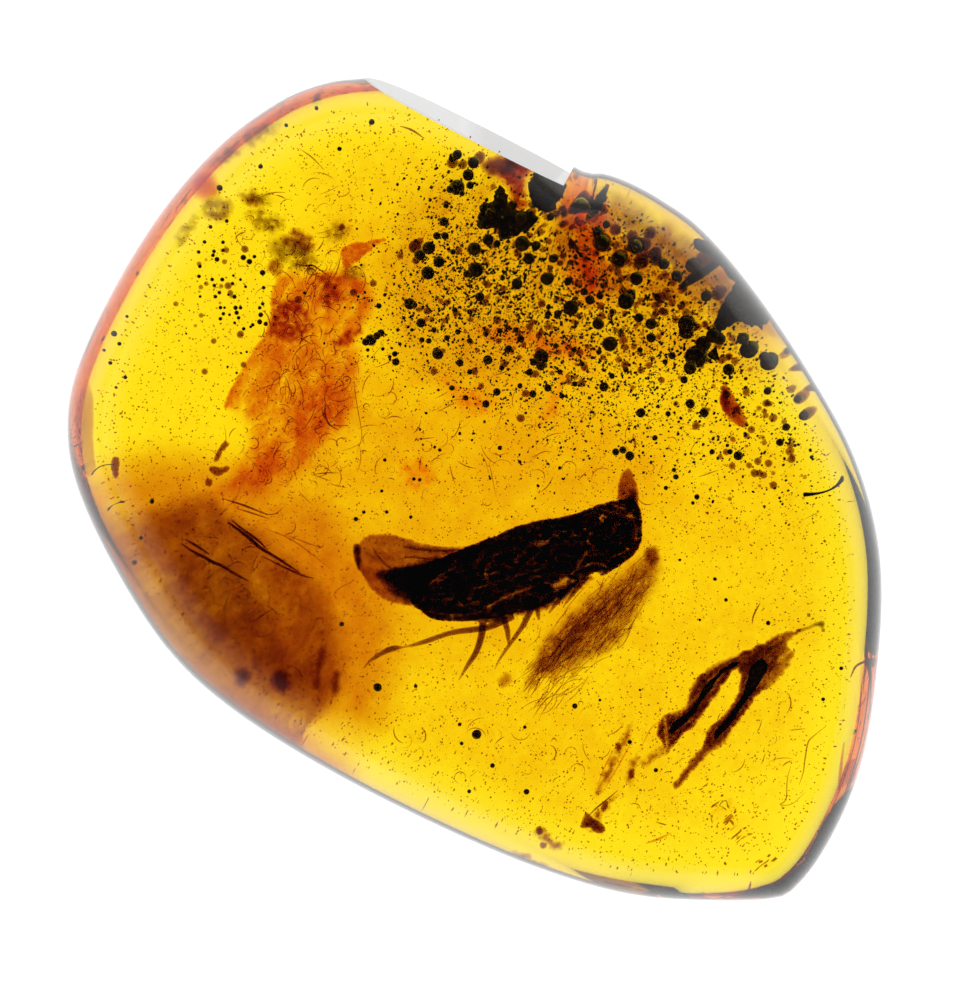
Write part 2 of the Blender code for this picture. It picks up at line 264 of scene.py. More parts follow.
def add_piece(name, material, shapes, smooth=True):
    """One object at the origin from closed shapes in millimetres, each (points, faces)."""
    points, faces, start = [], [], 0
    for shape_points, shape_faces in shapes:
        points.append(shape_points)
        faces += [tuple(index + start for index in face) for face in shape_faces]
        start += len(shape_points)
    mesh = bpy.data.meshes.new(name)
    mesh.from_pydata(np.vstack(points) * MM, [], faces)
    bm = bmesh.new()
    bm.from_mesh(mesh)
    bmesh.ops.recalc_face_normals(bm, faces=bm.faces)
    bm.to_mesh(mesh)
    bm.free()
    if smooth:
        mesh.shade_smooth()
    mesh.materials.append(material)
    piece = bpy.data.objects.new(name, mesh)
    bpy.context.scene.collection.objects.link(piece)
    return piece


def apply_modifiers(piece):
    """Makes what the modifiers give the piece's own mesh."""
    graph = bpy.context.evaluated_depsgraph_get()
    finished = bpy.data.meshes.new_from_object(piece.evaluated_get(graph))
    finished.name = piece.name
    piece.modifiers.clear()
    piece.data = finished


def see_through(name, tint, span, ior=1.0, roughness=0.0):
    """Clear matter that turns white light to the tint over a span in millimetres.

    What is sealed in the resin is soaked with it and bends light no further, hence the IOR of 1.
    """
    material, tree, output = new_material(name)
    surface = add_node(
        tree,
        "ShaderNodeBsdfPrincipled",
        Base_Color=(1, 1, 1, 1),
        Roughness=roughness,
        IOR=ior,
        Transmission_Weight=1.0,
    )
    lost = -np.log(np.maximum(linear(tint)[:3], 1e-4)) / (span * MM)
    depth = add_node(
        tree,
        "ShaderNodeVolumeAbsorption",
        Color=(*(1 - lost / lost.max()), 1),
        Density=lost.max(),
    )
    tree.links.new(surface.outputs["BSDF"], output.inputs["Surface"])
    tree.links.new(depth.outputs["Volume"], output.inputs["Volume"])
    return material


def cabochon_polish():
    """Fossil resin, polished to a glassy shine, a little less on the flat at its edge."""
    material = see_through("polished_fossil_resin", AMBER_TINT, 1.0, AMBER_IOR, POLISH)
    tree = material.node_tree
    surface = tree.nodes["Principled BSDF"]
    ground = add_node(tree, "ShaderNodeAttribute", attribute_name="ground")
    finish = add_node(
        tree, "ShaderNodeMapRange", {"Value": ground.outputs["Fac"]}, To_Min=POLISH, To_Max=GROUND
    )
    tree.links.new(finish.outputs["Result"], surface.inputs["Roughness"])
    return material


RIM = spread_evenly(curve_through(PEBBLE_OUTLINE, 12, closed=True), OUTLINE_SAMPLES)


def pebble_rings():
    """Level rings of the pebble, from the face that it rests on up to the ring round its pole."""
    ground = (GIRDLE_HEIGHT / KEEL_DEPTH) ** (KEEL_FULLNESS / 2)
    levels = []
    for rise in np.linspace(-np.arcsin(ground), 0, KEEL_RINGS, endpoint=False):
        share = np.cos(rise) ** (2 / KEEL_FULLNESS)
        levels.append((share, GIRDLE_HEIGHT - KEEL_DEPTH * np.sin(-rise) ** (2 / KEEL_FULLNESS)))
    last = np.arccos(SMALLEST_RING ** (CROWN_FULLNESS / 2))
    for rise in np.linspace(0, last, CROWN_RINGS):
        share = np.cos(rise) ** (2 / CROWN_FULLNESS)
        levels.append((share, GIRDLE_HEIGHT + CROWN_HEIGHT * np.sin(rise) ** (2 / CROWN_FULLNESS)))
    rings = []
    for share, height in levels:
        level = PEBBLE_CENTRE + share * (RIM - PEBBLE_CENTRE)
        rise = max(0.0, height - GIRDLE_HEIGHT) / CROWN_HEIGHT
        rings.append(np.column_stack([level, height + rise * (level @ CROWN_TILT)]))
    return rings


def edge_grinder():
    """The block of space that the flat at the edge is ground away by."""
    along = (FLAT_END - FLAT_START) / np.linalg.norm(FLAT_END - FLAT_START)
    outward = np.array((-along[1], along[0]))
    rings = []
    for height in (-GRINDER_REACH, 3 * GRINDER_REACH):
        inner = outward * FLAT_LEAN * (FLAT_FOOT - height)
        outer = inner + outward * GRINDER_REACH
        far_end = FLAT_START - along * GRINDER_REACH
        corners = (far_end + inner, FLAT_END + inner, FLAT_END + outer, far_end + outer)
        rings.append(np.array([(*corner, height) for corner in corners]))
    return skin(rings)


polished_amber = cabochon_polish()
amber = add_piece("amber_pebble", polished_amber, [skin(pebble_rings())])
grinder = add_piece("edge_grinder", polished_amber, [edge_grinder()], smooth=False)
cut = amber.modifiers.new("Flat at the edge", "BOOLEAN")
cut.operation = "DIFFERENCE"
cut.object = grinder
apply_modifiers(amber)
bpy.data.objects.remove(grinder)
amber.data.set_sharp_from_angle(angle=np.radians(25))
flat_line = (FLAT_END - FLAT_START) / np.linalg.norm(FLAT_END - FLAT_START)
flat_facing = Vector((-flat_line[1], flat_line[0], FLAT_LEAN)).normalized()
flat_place = Vector((*FLAT_END, FLAT_FOOT)) * MM
ground = amber.data.attributes.new("ground", "FLOAT", "FACE")
on_flat = [
    face.normal.dot(flat_facing) > FLAT_MATCH
    and abs((face.center - flat_place).dot(flat_facing)) < FLAT_TOUCH
    for face in amber.data.polygons
]
ground.data.foreach_set("value", [float(is_ground) for is_ground in on_flat])
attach(amber, "root")
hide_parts("amber_upper", "amber_lower")

# Planthopper: the insect died on its side, head right and back up, and its body has charred to
# black in the resin. Where its skin is one layer thick, at its edges and seams, it still lets a
# little red light through. All of it lies at the flow seam between two pours of resin.
SEAM_HEIGHT = 3.4
EYE_HEIGHT = 140.0  # about the camera's height over the table
ROOM_LEFT = 0.06  # nothing sealed in comes nearer to the pebble's surface than this
THINNEST = 0.002  # half thickness that a thin body has at its very rim
THINNEST_THREAD = 0.003
THREAD_STEPS = 4  # rings between two stations of a thread
TRIANGLE_ROW = 0.87  # height of a triangle with even sides, as a share of a side
CLEAR_OF_RIM = 0.55  # how near a grid point may be to the rim, as a share of the grid's spacing

BODY_OUTLINE = (
    (-1.89, -1.62), (-1.53, -1.54), (-1.09, -1.49), (-0.53, -1.29), (-0.09, -1.10), (0.43, -0.90),
    (0.77, -0.75), (1.21, -0.62), (1.85, -0.51), (2.21, -0.40), (2.45, -0.29), (2.73, -0.23),
    (3.03, -0.18), (3.25, -0.26), (3.35, -0.48), (3.37, -0.76), (3.33, -1.06), (3.23, -1.26),
    (3.07, -1.40), (2.85, -1.56), (2.59, -1.72), (2.41, -1.66), (2.21, -1.78), (1.99, -1.94),
    (1.77, -2.12), (1.47, -2.28), (1.21, -2.38), (0.77, -2.48), (0.51, -2.55), (0.13, -2.60),
    (-0.31, -2.64), (-0.73, -2.60), (-0.95, -2.52), (-1.21, -2.32), (-1.33, -2.14), (-1.57, -1.94),
    (-1.77, -1.76),
)
# Thin places of the body, where light comes through: (width, what is left of its thickness, line).
# The last four are pinholes, painted highlights whose light stands in for glints on tiny bubbles.
BODY_SEAMS_AND_GLINT_HOLES = (
    (0.040, 0.30, (1.11, -1.96), (0.91, -2.02), (0.67, -2.12), (0.47, -2.22), (0.27, -2.34)),
    (0.040, 0.38, (2.25, -1.24), (2.15, -1.40), (2.05, -1.56), (1.95, -1.68)),
    (0.085, 0.14, (1.83, -1.78), (1.73, -1.86), (1.61, -1.92)),
    (0.030, 0.38, (2.13, -1.56), (2.31, -1.48), (2.47, -1.47), (2.63, -1.52)),
    (0.050, 0.26, (2.55, -1.64), (2.43, -1.70), (2.27, -1.76)),
    (0.022, 0.30, (-0.35, -1.54), (-0.55, -1.62), (-0.73, -1.74), (-0.93, -1.92)),
    (0.028, 0.45, (2.75, -0.30), (2.99, -0.38), (3.15, -0.52), (3.25, -0.76), (3.23, -1.00)),
    (0.018, 0.55, (0.11, -1.40), (0.51, -1.26), (0.95, -1.16), (1.47, -1.06)),
    (0.018, 0.55, (-0.09, -2.00), (0.35, -1.86), (0.75, -1.76), (1.23, -1.60)),
    (0.018, 0.45, (1.31, -2.16), (1.55, -2.04), (1.79, -1.96), (2.03, -1.80)),
    (0.018, 0.50, (-0.89, -2.44), (-0.49, -2.50), (-0.05, -2.48), (0.39, -2.40)),
    (0.020, 0.40, (2.47, -0.38), (2.91, -0.48), (3.33, -0.58)),
    # Pinholes through the body: painted highlights, whose light stands in for glints on tiny bubbles.
    (0.026, 0.02, (2.26, -1.02), (2.28, -1.02)),
    (0.022, 0.05, (2.20, -0.78), (2.22, -0.78)),
    (0.026, 0.02, (3.06, -1.18), (3.08, -1.18)),
    (0.030, 0.10, (2.51, -0.56), (2.57, -0.50), (2.63, -0.56), (2.57, -0.62), (2.51, -0.56)),
)
BODY_HALF = 0.175
TIP_FADE = (-1.95, -1.00)  # from thin to full thickness along X, at the body's left tip
TIP_SHARE = 0.22
BEAD_FACETS = 2  # how often an icosphere is divided for a clump or a bubble
CLUMP_PITCH = 0.158
CLUMP_LONG = (0.060, 0.125)
CLUMP_WIDE = (0.036, 0.066)
CLUMP_HALF = 0.08
CLUMP_DEPTHS = (-0.02, 0.06)
CLUMP_INSET = 0.10
CLUMP_TURN = 0.30
CLUMP_LUMPS = 0.35
WING_LOBE = (
    (-2.43, -1.26), (-2.35, -1.10), (-2.27, -1.02), (-2.13, -0.90), (-1.87, -0.86), (-1.57, -0.90),
    (-1.31, -0.98), (-0.95, -1.08), (-0.65, -1.12), (-0.27, -1.14), (-0.01, -1.10), (-0.17, -1.52),
    (-0.69, -1.80), (-1.09, -2.20), (-1.27, -2.32), (-1.53, -2.28), (-1.83, -2.20), (-2.07, -1.96),
    (-2.25, -1.72), (-2.37, -1.52),
)
WING_TIP_SHADE = (
    (-2.03, -1.66), (-1.81, -1.54), (-1.53, -1.50), (-1.21, -1.40), (-0.89, -1.32), (-0.61, -1.32),
    (-0.85, -1.60), (-1.01, -2.12), (-1.17, -2.34), (-1.41, -2.28), (-1.65, -2.14), (-1.85, -1.92),
)
WING_TOP_SHADE = (
    (-1.45, -1.22), (-1.33, -1.06), (-1.01, -1.08), (-0.61, -1.14), (-0.25, -1.14), (-0.53, -1.32),
    (-0.97, -1.28),
)
WING_BAR = (
    (-2.43, -1.10), (-2.31, -1.08), (-2.25, -1.28), (-2.27, -1.60), (-2.35, -1.56), (-2.41, -1.34),
)
WING_VEINS = (
    ((-0.17, -1.18), (-0.69, -1.22), (-1.13, -1.18), (-1.45, -1.12)),
    ((-0.45, -1.34), (-0.89, -1.38), (-1.25, -1.34), (-1.53, -1.40)),
    ((-1.49, -1.70), (-1.73, -1.52), (-1.93, -1.32), (-2.05, -1.12)),
)
BELLY_FUZZ = (
    (0.11, -2.52), (0.51, -2.44), (0.91, -2.32), (1.35, -2.20), (1.71, -2.04), (1.99, -1.84),
    (2.31, -1.72), (2.47, -1.76), (2.23, -1.92), (1.95, -2.12), (1.63, -2.32), (1.39, -2.44),
    (1.11, -2.48), (0.83, -2.56), (0.47, -2.64), (0.19, -2.64),
)
RAISED_FLAP = (
    (2.85, -0.32), (2.85, -0.12), (2.87, 0.08), (2.91, 0.24), (2.97, 0.36), (3.07, 0.46),
    (3.15, 0.36), (3.23, 0.20), (3.27, 0.04), (3.29, -0.12), (3.31, -0.32), (3.07, -0.36),
)
FLAP_SPOT = (
    (2.99, -0.18), (3.09, -0.02), (3.21, 0.04), (3.27, -0.08), (3.25, -0.28), (3.07, -0.32),
)
LEGS = (
    (
        (0.79, -2.52, 0.10, 0.070), (0.51, -2.64, 0.10, 0.080), (0.25, -2.75, 0.10, 0.066),
        (-0.09, -2.80, 0.10, 0.062), (-0.39, -2.84, 0.10, 0.056), (-0.67, -2.92, 0.10, 0.052),
        (-0.95, -3.02, 0.10, 0.052), (-1.23, -3.10, 0.10, 0.034), (-1.41, -3.14, 0.10, 0.020),
        (-1.57, -3.16, 0.10, 0.054), (-1.73, -3.20, 0.10, 0.058), (-1.91, -3.30, 0.10, 0.046),
        (-2.09, -3.42, 0.10, 0.032), (-2.21, -3.56, 0.10, 0.018),
    ),
    (
        (0.15, -2.44, -0.10, 0.078), (0.17, -2.68, -0.10, 0.078), (0.14, -2.92, -0.10, 0.074),
        (0.07, -3.16, -0.10, 0.068), (-0.01, -3.32, -0.10, 0.062), (-0.13, -3.50, -0.10, 0.048),
        (-0.31, -3.80, -0.10, 0.014),
    ),
    (
        (1.15, -2.36, 0.05, 0.070), (0.99, -2.68, 0.05, 0.060), (0.83, -2.92, 0.05, 0.048),
        (0.67, -3.14, 0.05, 0.040), (0.51, -3.38, 0.05, 0.028), (0.41, -3.58, 0.05, 0.012),
    ),
    (
        (0.57, -2.52, -0.05, 0.066), (0.65, -2.76, -0.05, 0.060), (0.68, -2.96, -0.05, 0.046),
        (0.69, -3.10, -0.05, 0.022),
    ),
    ((1.23, -2.24, 0.0, 0.060), (1.27, -2.44, 0.0, 0.054), (1.29, -2.60, 0.0, 0.026)),
    (
        (1.99, -1.88, 0.0, 0.066), (1.79, -2.08, 0.0, 0.060), (1.63, -2.28, 0.0, 0.046),
        (1.49, -2.46, 0.0, 0.022),
    ),
    (
        (2.27, -1.72, -0.1, 0.050), (2.07, -1.96, -0.1, 0.050), (1.91, -2.16, -0.1, 0.036),
        (1.79, -2.32, -0.1, 0.016),
    ),
    ((-0.09, -2.56, 0.0, 0.050), (0.23, -2.60, 0.0, 0.058), (0.51, -2.56, 0.0, 0.050)),
)


def share_of_reach(places):
    """How far places are from the pebble's centre, as a share of the way to its outline."""
    rim, offset = RIM - PEBBLE_CENTRE, places[:, :2] - PEBBLE_CENTRE
    turns, reaches = np.arctan2(rim[:, 1], rim[:, 0]), np.hypot(rim[:, 0], rim[:, 1])
    reach = np.interp(np.arctan2(offset[:, 1], offset[:, 0]), turns, reaches, period=2 * np.pi)
    return np.minimum(np.hypot(offset[:, 0], offset[:, 1]) / reach, 0.99)


def crown_height(places):
    """How high the crown is over places, which are rows of x and y."""
    rise = (1 - share_of_reach(places) ** CROWN_FULLNESS) ** (1 / CROWN_FULLNESS)
    return GIRDLE_HEIGHT + rise * (CROWN_HEIGHT + places[:, :2] @ CROWN_TILT)


def keel_height(places):
    """How high the underside is under places."""
    drop = (1 - share_of_reach(places) ** KEEL_FULLNESS) ** (1 / KEEL_FULLNESS)
    return np.maximum(0, GIRDLE_HEIGHT - KEEL_DEPTH * drop)


def under_crown(seen, depth):
    """Where things lie that look, from straight above, to be at places of the girdle's plane.

    The domed crown bends the view. Depth counts up from the flow seam.
    """
    seen, eye = np.asarray(seen, float)[:, :2], np.array((0, 0, EYE_HEIGHT))
    ray = np.column_stack([seen, np.full(len(seen), GIRDLE_HEIGHT)]) - eye
    ray /= np.linalg.norm(ray, axis=1)[:, None]
    hit = eye + ray * ((crown_height(seen) - EYE_HEIGHT) / ray[:, 2])[:, None]
    step = 0.15
    slopes = [
        (crown_height(hit + shift) - crown_height(hit - shift)) / (2 * step)
        for shift in (np.array((step, 0, 0)), np.array((0, step, 0)))
    ]
    normal = np.column_stack([-slopes[0], -slopes[1], np.ones(len(seen))])
    normal /= np.linalg.norm(normal, axis=1)[:, None]
    facing = -(normal * ray).sum(axis=1)
    along_normal = facing / AMBER_IOR - np.sqrt(1 - (1 - facing**2) / AMBER_IOR**2)
    bent = ray / AMBER_IOR + normal * along_normal[:, None]
    return hit + bent * ((SEAM_HEIGHT + depth - hit[:, 2]) / bent[:, 2])[:, None]


def kept_inside(points):
    """The points, with any that would stand out of the resin drawn back into it."""
    low, high = keel_height(points) + ROOM_LEFT, crown_height(points) - ROOM_LEFT
    heights = np.clip(points[:, 2], low, np.maximum(high, low))
    return np.column_stack([points[:, :2], heights])


def wander(places, size, stretch=1.0, turn=0.0, seed=0.0):
    """Smooth noise from -1 to 1 at places, with features of a size, drawn out along a direction."""
    along = np.array((np.cos(turn), np.sin(turn)))
    across = np.array((-along[1], along[0]))
    rows = np.column_stack([places @ along / (size * stretch), places @ across / size])
    return np.array([noise.fractal((u, v, seed), 0.7, 2.1, 3) for u, v in rows])


def inside_outline(places, loop):
    """Which places are inside a closed line."""
    crossings = np.zeros(len(places), int)
    for (x1, y1), (x2, y2) in zip(loop, np.roll(loop, -1, 0)):
        between = (y1 > places[:, 1]) != (y2 > places[:, 1])
        reach = x1 + (places[:, 1] - y1) * (x2 - x1) / (y2 - y1 if y2 != y1 else 1e-9)
        crossings += between & (places[:, 0] < reach)
    return crossings % 2 == 1


def within(places, share):
    """Which seen places are within a share of the pebble's outline."""
    return inside_outline(places, PEBBLE_CENTRE + share * (RIM - PEBBLE_CENTRE))


def nearest_of(loop, places):
    """For each place, which of the loop's points is nearest, and how far it is."""
    tree = KDTree(len(loop))
    for index, point in enumerate(loop):
        tree.insert((*point, 0), index)
    tree.balance()
    found = [tree.find((*place, 0))[1:] for place in places]
    return np.array([index for index, _ in found]), np.array([distance for _, distance in found])


def lens(outline, depth, middle, fade, spacing=0.07, soft=False, relief=None, ragged=0.0):
    """A closed thin body inside an outline as seen from above, thinning out towards its rim.

    It reaches its half thickness in the middle at the fade's distance from the rim, rounded like a
    cushion or, if soft, run out like a stain. An outline point may hold a fade of its own, as its
    third number. Relief gives a share of the thickness for each place.
    """
    rows = [(*point, fade) if len(point) == 2 else point for point in outline]
    rows = curve_through(rows, 8, closed=True)
    length = np.linalg.norm(rows[:, :2] - np.roll(rows[:, :2], -1, 0), axis=1).sum()
    rows = spread_evenly(rows, max(12, int(length / spacing)))
    loop = rows[:, :2]
    if ragged:
        wobble = [wander(loop, 4 * spacing, seed=seed) for seed in (3.3, 7.7)]
        loop = loop + ragged * np.column_stack(wobble)
    low, high = loop.min(0), loop.max(0)
    columns = np.arange(low[0], high[0], spacing)
    levels = np.arange(low[1], high[1], spacing * TRIANGLE_ROW)
    grid = np.array([(x + spacing * (row % 2) / 2, y) for row, y in enumerate(levels) for x in columns])
    grid = grid[inside_outline(grid, loop)]
    grid = grid[nearest_of(loop, grid)[1] > CLEAR_OF_RIM * spacing]
    places = np.vstack([loop, grid])
    sides = list(range(len(loop)))
    spots, _, faces, *_ = delaunay_2d_cdt([Vector(p) for p in places], [], [sides], 1, 1e-5)
    spots = np.array([tuple(spot) for spot in spots])
    nearest, reach = nearest_of(loop, spots)
    share = np.minimum(reach / np.maximum(rows[nearest, 2], 1e-3), 1)
    swell = share**2 * (3 - 2 * share) if soft else np.sqrt(share * (2 - share))
    half = middle * swell
    if relief:
        half = half * np.maximum(relief(spots), 0.03)
    half = half + THINNEST
    centre = under_crown(spots, np.full(len(spots), float(depth)))
    upward = np.column_stack([np.zeros((len(half), 2)), half])
    count = len(spots)
    edge = {}
    for face in faces:
        for i, j in zip(face, (*face[1:], face[0])):
            edge[(i, j)] = edge.get((i, j), 0) + 1
    walls = [(i, j, j + count, i + count) for (i, j) in edge if (j, i) not in edge]
    under = [tuple(i + count for i in reversed(face)) for face in faces]
    points = kept_inside(np.vstack([centre + upward, centre - upward]))
    return points, [tuple(reversed(wall)) for wall in walls] + [tuple(face) for face in faces] + under


def thread(stations, sides=8):
    """A closed thin tube through stations (x, y, depth, radius) as seen from above."""
    rows = curve_through(stations, THREAD_STEPS)
    centres = kept_inside(under_crown(rows, rows[:, 2]))
    tangents = np.gradient(centres, axis=0)
    tangents /= np.linalg.norm(tangents, axis=1)[:, None] + 1e-9
    across = np.cross((0, 0, 1), tangents)
    across /= np.linalg.norm(across, axis=1)[:, None] + 1e-9
    upward = np.cross(tangents, across)
    turns = 2 * np.pi * np.arange(sides) / sides
    rings = []
    for centre, side, top, row in zip(centres, across, upward, rows):
        spokes = np.outer(np.cos(turns), side) + np.outer(np.sin(turns), top)
        rings.append(centre + max(row[3], THINNEST_THREAD) * spokes)
    return skin(rings)


def line(points, depth, radius):
    """A thread of even depth that tapers to both its ends."""
    taper = np.sin(np.pi * (0.15 + 0.7 * np.arange(len(points)) / (len(points) - 1)))
    return thread([(*point, depth, radius * share) for point, share in zip(points, taper)], sides=6)


def unit_ball(facets):
    """An icosphere with a radius of 1, divided a number of times: its points and its faces."""
    ball = bmesh.new()
    bmesh.ops.create_icosphere(ball, subdivisions=facets, radius=1)
    points = np.array([tuple(vert.co) for vert in ball.verts])
    faces = [tuple(vert.index for vert in face.verts) for face in ball.faces]
    ball.free()
    return points, faces


def dented(tree, output, colour, height, strength, distance, roughness):
    """Ends a material in an opaque surface of a colour, dented by a height."""
    bump = add_node(tree, "ShaderNodeBump", {"Height": height}, Strength=strength, Distance=distance)
    surface = add_node(
        tree,
        "ShaderNodeBsdfPrincipled",
        {"Base Color": colour, "Normal": bump.outputs["Normal"]},
        Roughness=roughness,
    )
    tree.links.new(surface.outputs["BSDF"], output.inputs["Surface"])


def charred_chitin():
    """Insect skin turned to coal: near black, a little glossy, with a red-brown bloom."""
    material, tree, output = new_material("charred_chitin")
    place = add_node(tree, "ShaderNodeTexCoord")
    blotches = add_node(
        tree, "ShaderNodeTexNoise", {"Vector": place.outputs["Object"]}, Scale=2600.0, Detail=4.0
    )
    bloom = two_toned(tree, blotches.outputs["Fac"], "#0A0503", "#3A1206", start=0.42, end=0.68)
    dents = add_node(
        tree, "ShaderNodeTexNoise", {"Vector": place.outputs["Object"]}, Scale=9000.0, Detail=3.0
    )
    dented(tree, output, bloom, dents.outputs["Fac"], strength=0.4, distance=0.00002, roughness=0.38)
    return material


body_skin = see_through("charred_skin", "#88604A", 0.10)
leg_skin = see_through("leg_chitin", "#7C5236", 0.11)
wing_skin = see_through("wing_membrane", "#A66C58", 0.16)
coal = charred_chitin()


def away_from(places, path):
    """How far places are from a line of points."""
    path = np.asarray(path, float)
    nearest = np.full(len(places), np.inf)
    for start, end in zip(path, path[1:]):
        run = end - start
        share = np.clip((places - start) @ run / (run @ run), 0, 1)
        nearest = np.minimum(nearest, np.linalg.norm(places - start - share[:, None] * run, axis=1))
    return nearest


def body_relief(spots):
    """The body's thickness: uneven, thin at its seams and at its left tip, and pierced by pinholes that
    are painted highlights.
    """
    share = 0.95 + 0.45 * wander(spots, 0.16, stretch=2.5, turn=0.28, seed=1.2)
    share += 0.55 * wander(spots, 0.06, stretch=1.6, turn=0.28, seed=6.2)
    for width, least, *seam in BODY_SEAMS_AND_GLINT_HOLES:
        share *= 1 - (1 - least) * np.exp(-((away_from(spots, seam) / width) ** 2))
    along = np.clip((spots[:, 0] - TIP_FADE[0]) / (TIP_FADE[1] - TIP_FADE[0]), 0, 1)
    return share * (TIP_SHARE + (1 - TIP_SHARE) * along**2 * (3 - 2 * along))


def veined(spots):
    """The wing's thickness, a little streaky along its veins."""
    streaks = 0.30 * wander(spots, 0.20, stretch=4, turn=-0.2, seed=2.0)
    return 0.85 + streaks + 0.25 * wander(spots, 0.06, seed=2.6)


def char_clumps(outline):
    """Flattened crumbs of char side by side all over an outline, with chinks between them."""
    rng = np.random.default_rng(5)
    loop = curve_through(outline, 8, closed=True)
    low, high = loop.min(0), loop.max(0)
    places = []
    for row, y in enumerate(np.arange(low[1], high[1], CLUMP_PITCH * 0.8)):
        for x in np.arange(low[0], high[0], CLUMP_PITCH):
            places.append((x + CLUMP_PITCH / 2 * (row % 2), y))
    places = np.array(places) + rng.normal(0, 0.25 * CLUMP_PITCH, (len(places), 2))
    places = places[inside_outline(places, loop)]
    places = places[nearest_of(loop, places)[1] > CLUMP_INSET]
    for width, least, *seam in BODY_SEAMS_AND_GLINT_HOLES:
        places = places[away_from(places, seam) > CLUMP_WIDE[0] + width * (1 - least)]
    shapes = []
    directions, faces = unit_ball(BEAD_FACETS)
    for centre in under_crown(places, rng.uniform(*CLUMP_DEPTHS, len(places))):
        turn = CLUMP_TURN + rng.normal(0, 0.3)
        long = rng.uniform(*CLUMP_LONG)
        wide = rng.uniform(*CLUMP_WIDE)
        lumps = [noise.noise(Vector(spoke) * 1.4 + Vector(centre)) for spoke in directions]
        uneven = 1 + CLUMP_LUMPS * np.array(lumps)
        spread = directions * np.array((long, wide, CLUMP_HALF)) * uneven[:, None]
        axes = [(np.cos(turn), np.sin(turn), 0), (-np.sin(turn), np.cos(turn), 0), (0, 0, 1)]
        shapes.append((centre + spread @ np.array(axes), faces))
    return shapes


cuticle = add_piece(
    "planthopper_skin",
    body_skin,
    [lens(BODY_OUTLINE, 0.02, BODY_HALF, 0.09, spacing=0.032, relief=body_relief, ragged=0.02)],
)
core = add_piece("planthopper_body", coal, char_clumps(BODY_OUTLINE))
wings = add_piece(
    "planthopper_wings",
    wing_skin,
    [
        lens(WING_LOBE, 0.14, 0.09, 0.06, spacing=0.05, relief=veined, ragged=0.02),
        lens(RAISED_FLAP, 0.14, 0.12, 0.09, spacing=0.05, relief=veined, ragged=0.03),
    ],
)
limbs = add_piece(
    "planthopper_legs",
    leg_skin,
    [thread(leg, sides=10) for leg in LEGS] + [line(vein, 0.34, 0.030) for vein in WING_VEINS],
)
shades = add_piece(
    "planthopper_shades",
    leg_skin,
    [
        lens(WING_TIP_SHADE, -0.14, 0.12, 0.16, spacing=0.04, soft=True, relief=veined, ragged=0.05),
        lens(WING_TOP_SHADE, 0.34, 0.05, 0.12, spacing=0.04, soft=True, relief=veined, ragged=0.05),
        lens(WING_BAR, 0.14, 0.12, 0.10, spacing=0.04, soft=True, ragged=0.03),
        lens(FLAP_SPOT, 0.34, 0.11, 0.16, spacing=0.04, soft=True, ragged=0.03),
        lens(BELLY_FUZZ, 0.34, 0.13, 0.16, spacing=0.04, soft=True, ragged=0.07, relief=veined),
    ],
)
for piece in (cuticle, core, wings, limbs, shades):
    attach(piece, "root")
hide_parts("planthopper")

# Torn membrane: a shred of wing or gut film beside the insect, brown, streaked with fine fibres
# along its length, and frayed at its lower end.
MEMBRANE_OUTLINE = (
    (3.41, -1.16), (3.55, -1.08), (3.71, -1.18), (3.79, -1.36), (3.75, -1.68), (3.67, -2.00),
    (3.49, -2.32), (3.31, -2.60), (3.13, -2.92), (2.95, -3.18), (2.65, -3.36), (2.35, -3.54),
    (2.15, -3.68), (1.95, -3.84), (1.83, -3.72), (1.63, -3.92), (1.43, -3.80), (1.27, -4.04),
    (1.11, -4.00), (0.95, -3.88), (1.03, -3.56), (1.13, -3.30), (1.35, -2.94), (1.71, -2.52),
    (2.11, -2.12), (2.45, -1.88), (2.69, -1.70), (2.95, -1.52), (3.21, -1.32),
)
MEMBRANE_RUN = np.radians(49)  # the way its fibres run, from its frayed end up to its knob
MEMBRANE_CORE = (
    (3.43, -1.32), (3.61, -1.24), (3.67, -1.44), (3.51, -1.80), (3.31, -2.08), (2.99, -2.36),
    (2.67, -2.68), (2.35, -3.04), (2.03, -3.32), (1.71, -3.56), (1.31, -3.80), (1.11, -3.72),
    (1.17, -3.32), (1.47, -2.92), (1.83, -2.52), (2.31, -2.20), (2.83, -1.92), (3.23, -1.64),
)
MEMBRANE_KNOB = (
    (3.39, -1.22), (3.51, -1.10), (3.67, -1.12), (3.75, -1.28), (3.69, -1.46), (3.51, -1.52),
    (3.37, -1.40),
)
MEMBRANE_BLOTCH = (
    (0.47, -3.76), (0.61, -3.64), (0.77, -3.72), (0.75, -3.90), (0.57, -3.98), (0.45, -3.90),
)
FIBRES = 190
FIBRE_RADIUS = 0.012
FIBRE_SPAN = (1.1, 3.4)  # along X
FIBRE_LENGTHS = (0.25, 0.9)
FIBRE_DEPTHS = (-0.08, 0.08)

membrane_stuff = see_through("gut_film", "#B88E56", 0.12)
fibre_stuff = see_through("fibre_skin", "#9A7048", 0.04)


def fibrous(spots):
    """Thin furrows along the membrane, torn through here and there."""
    furrows = 0.55 * wander(spots, 0.08, stretch=4, turn=MEMBRANE_RUN, seed=4.0)
    return 0.85 + furrows + 0.40 * wander(spots, 0.05, seed=5.0)


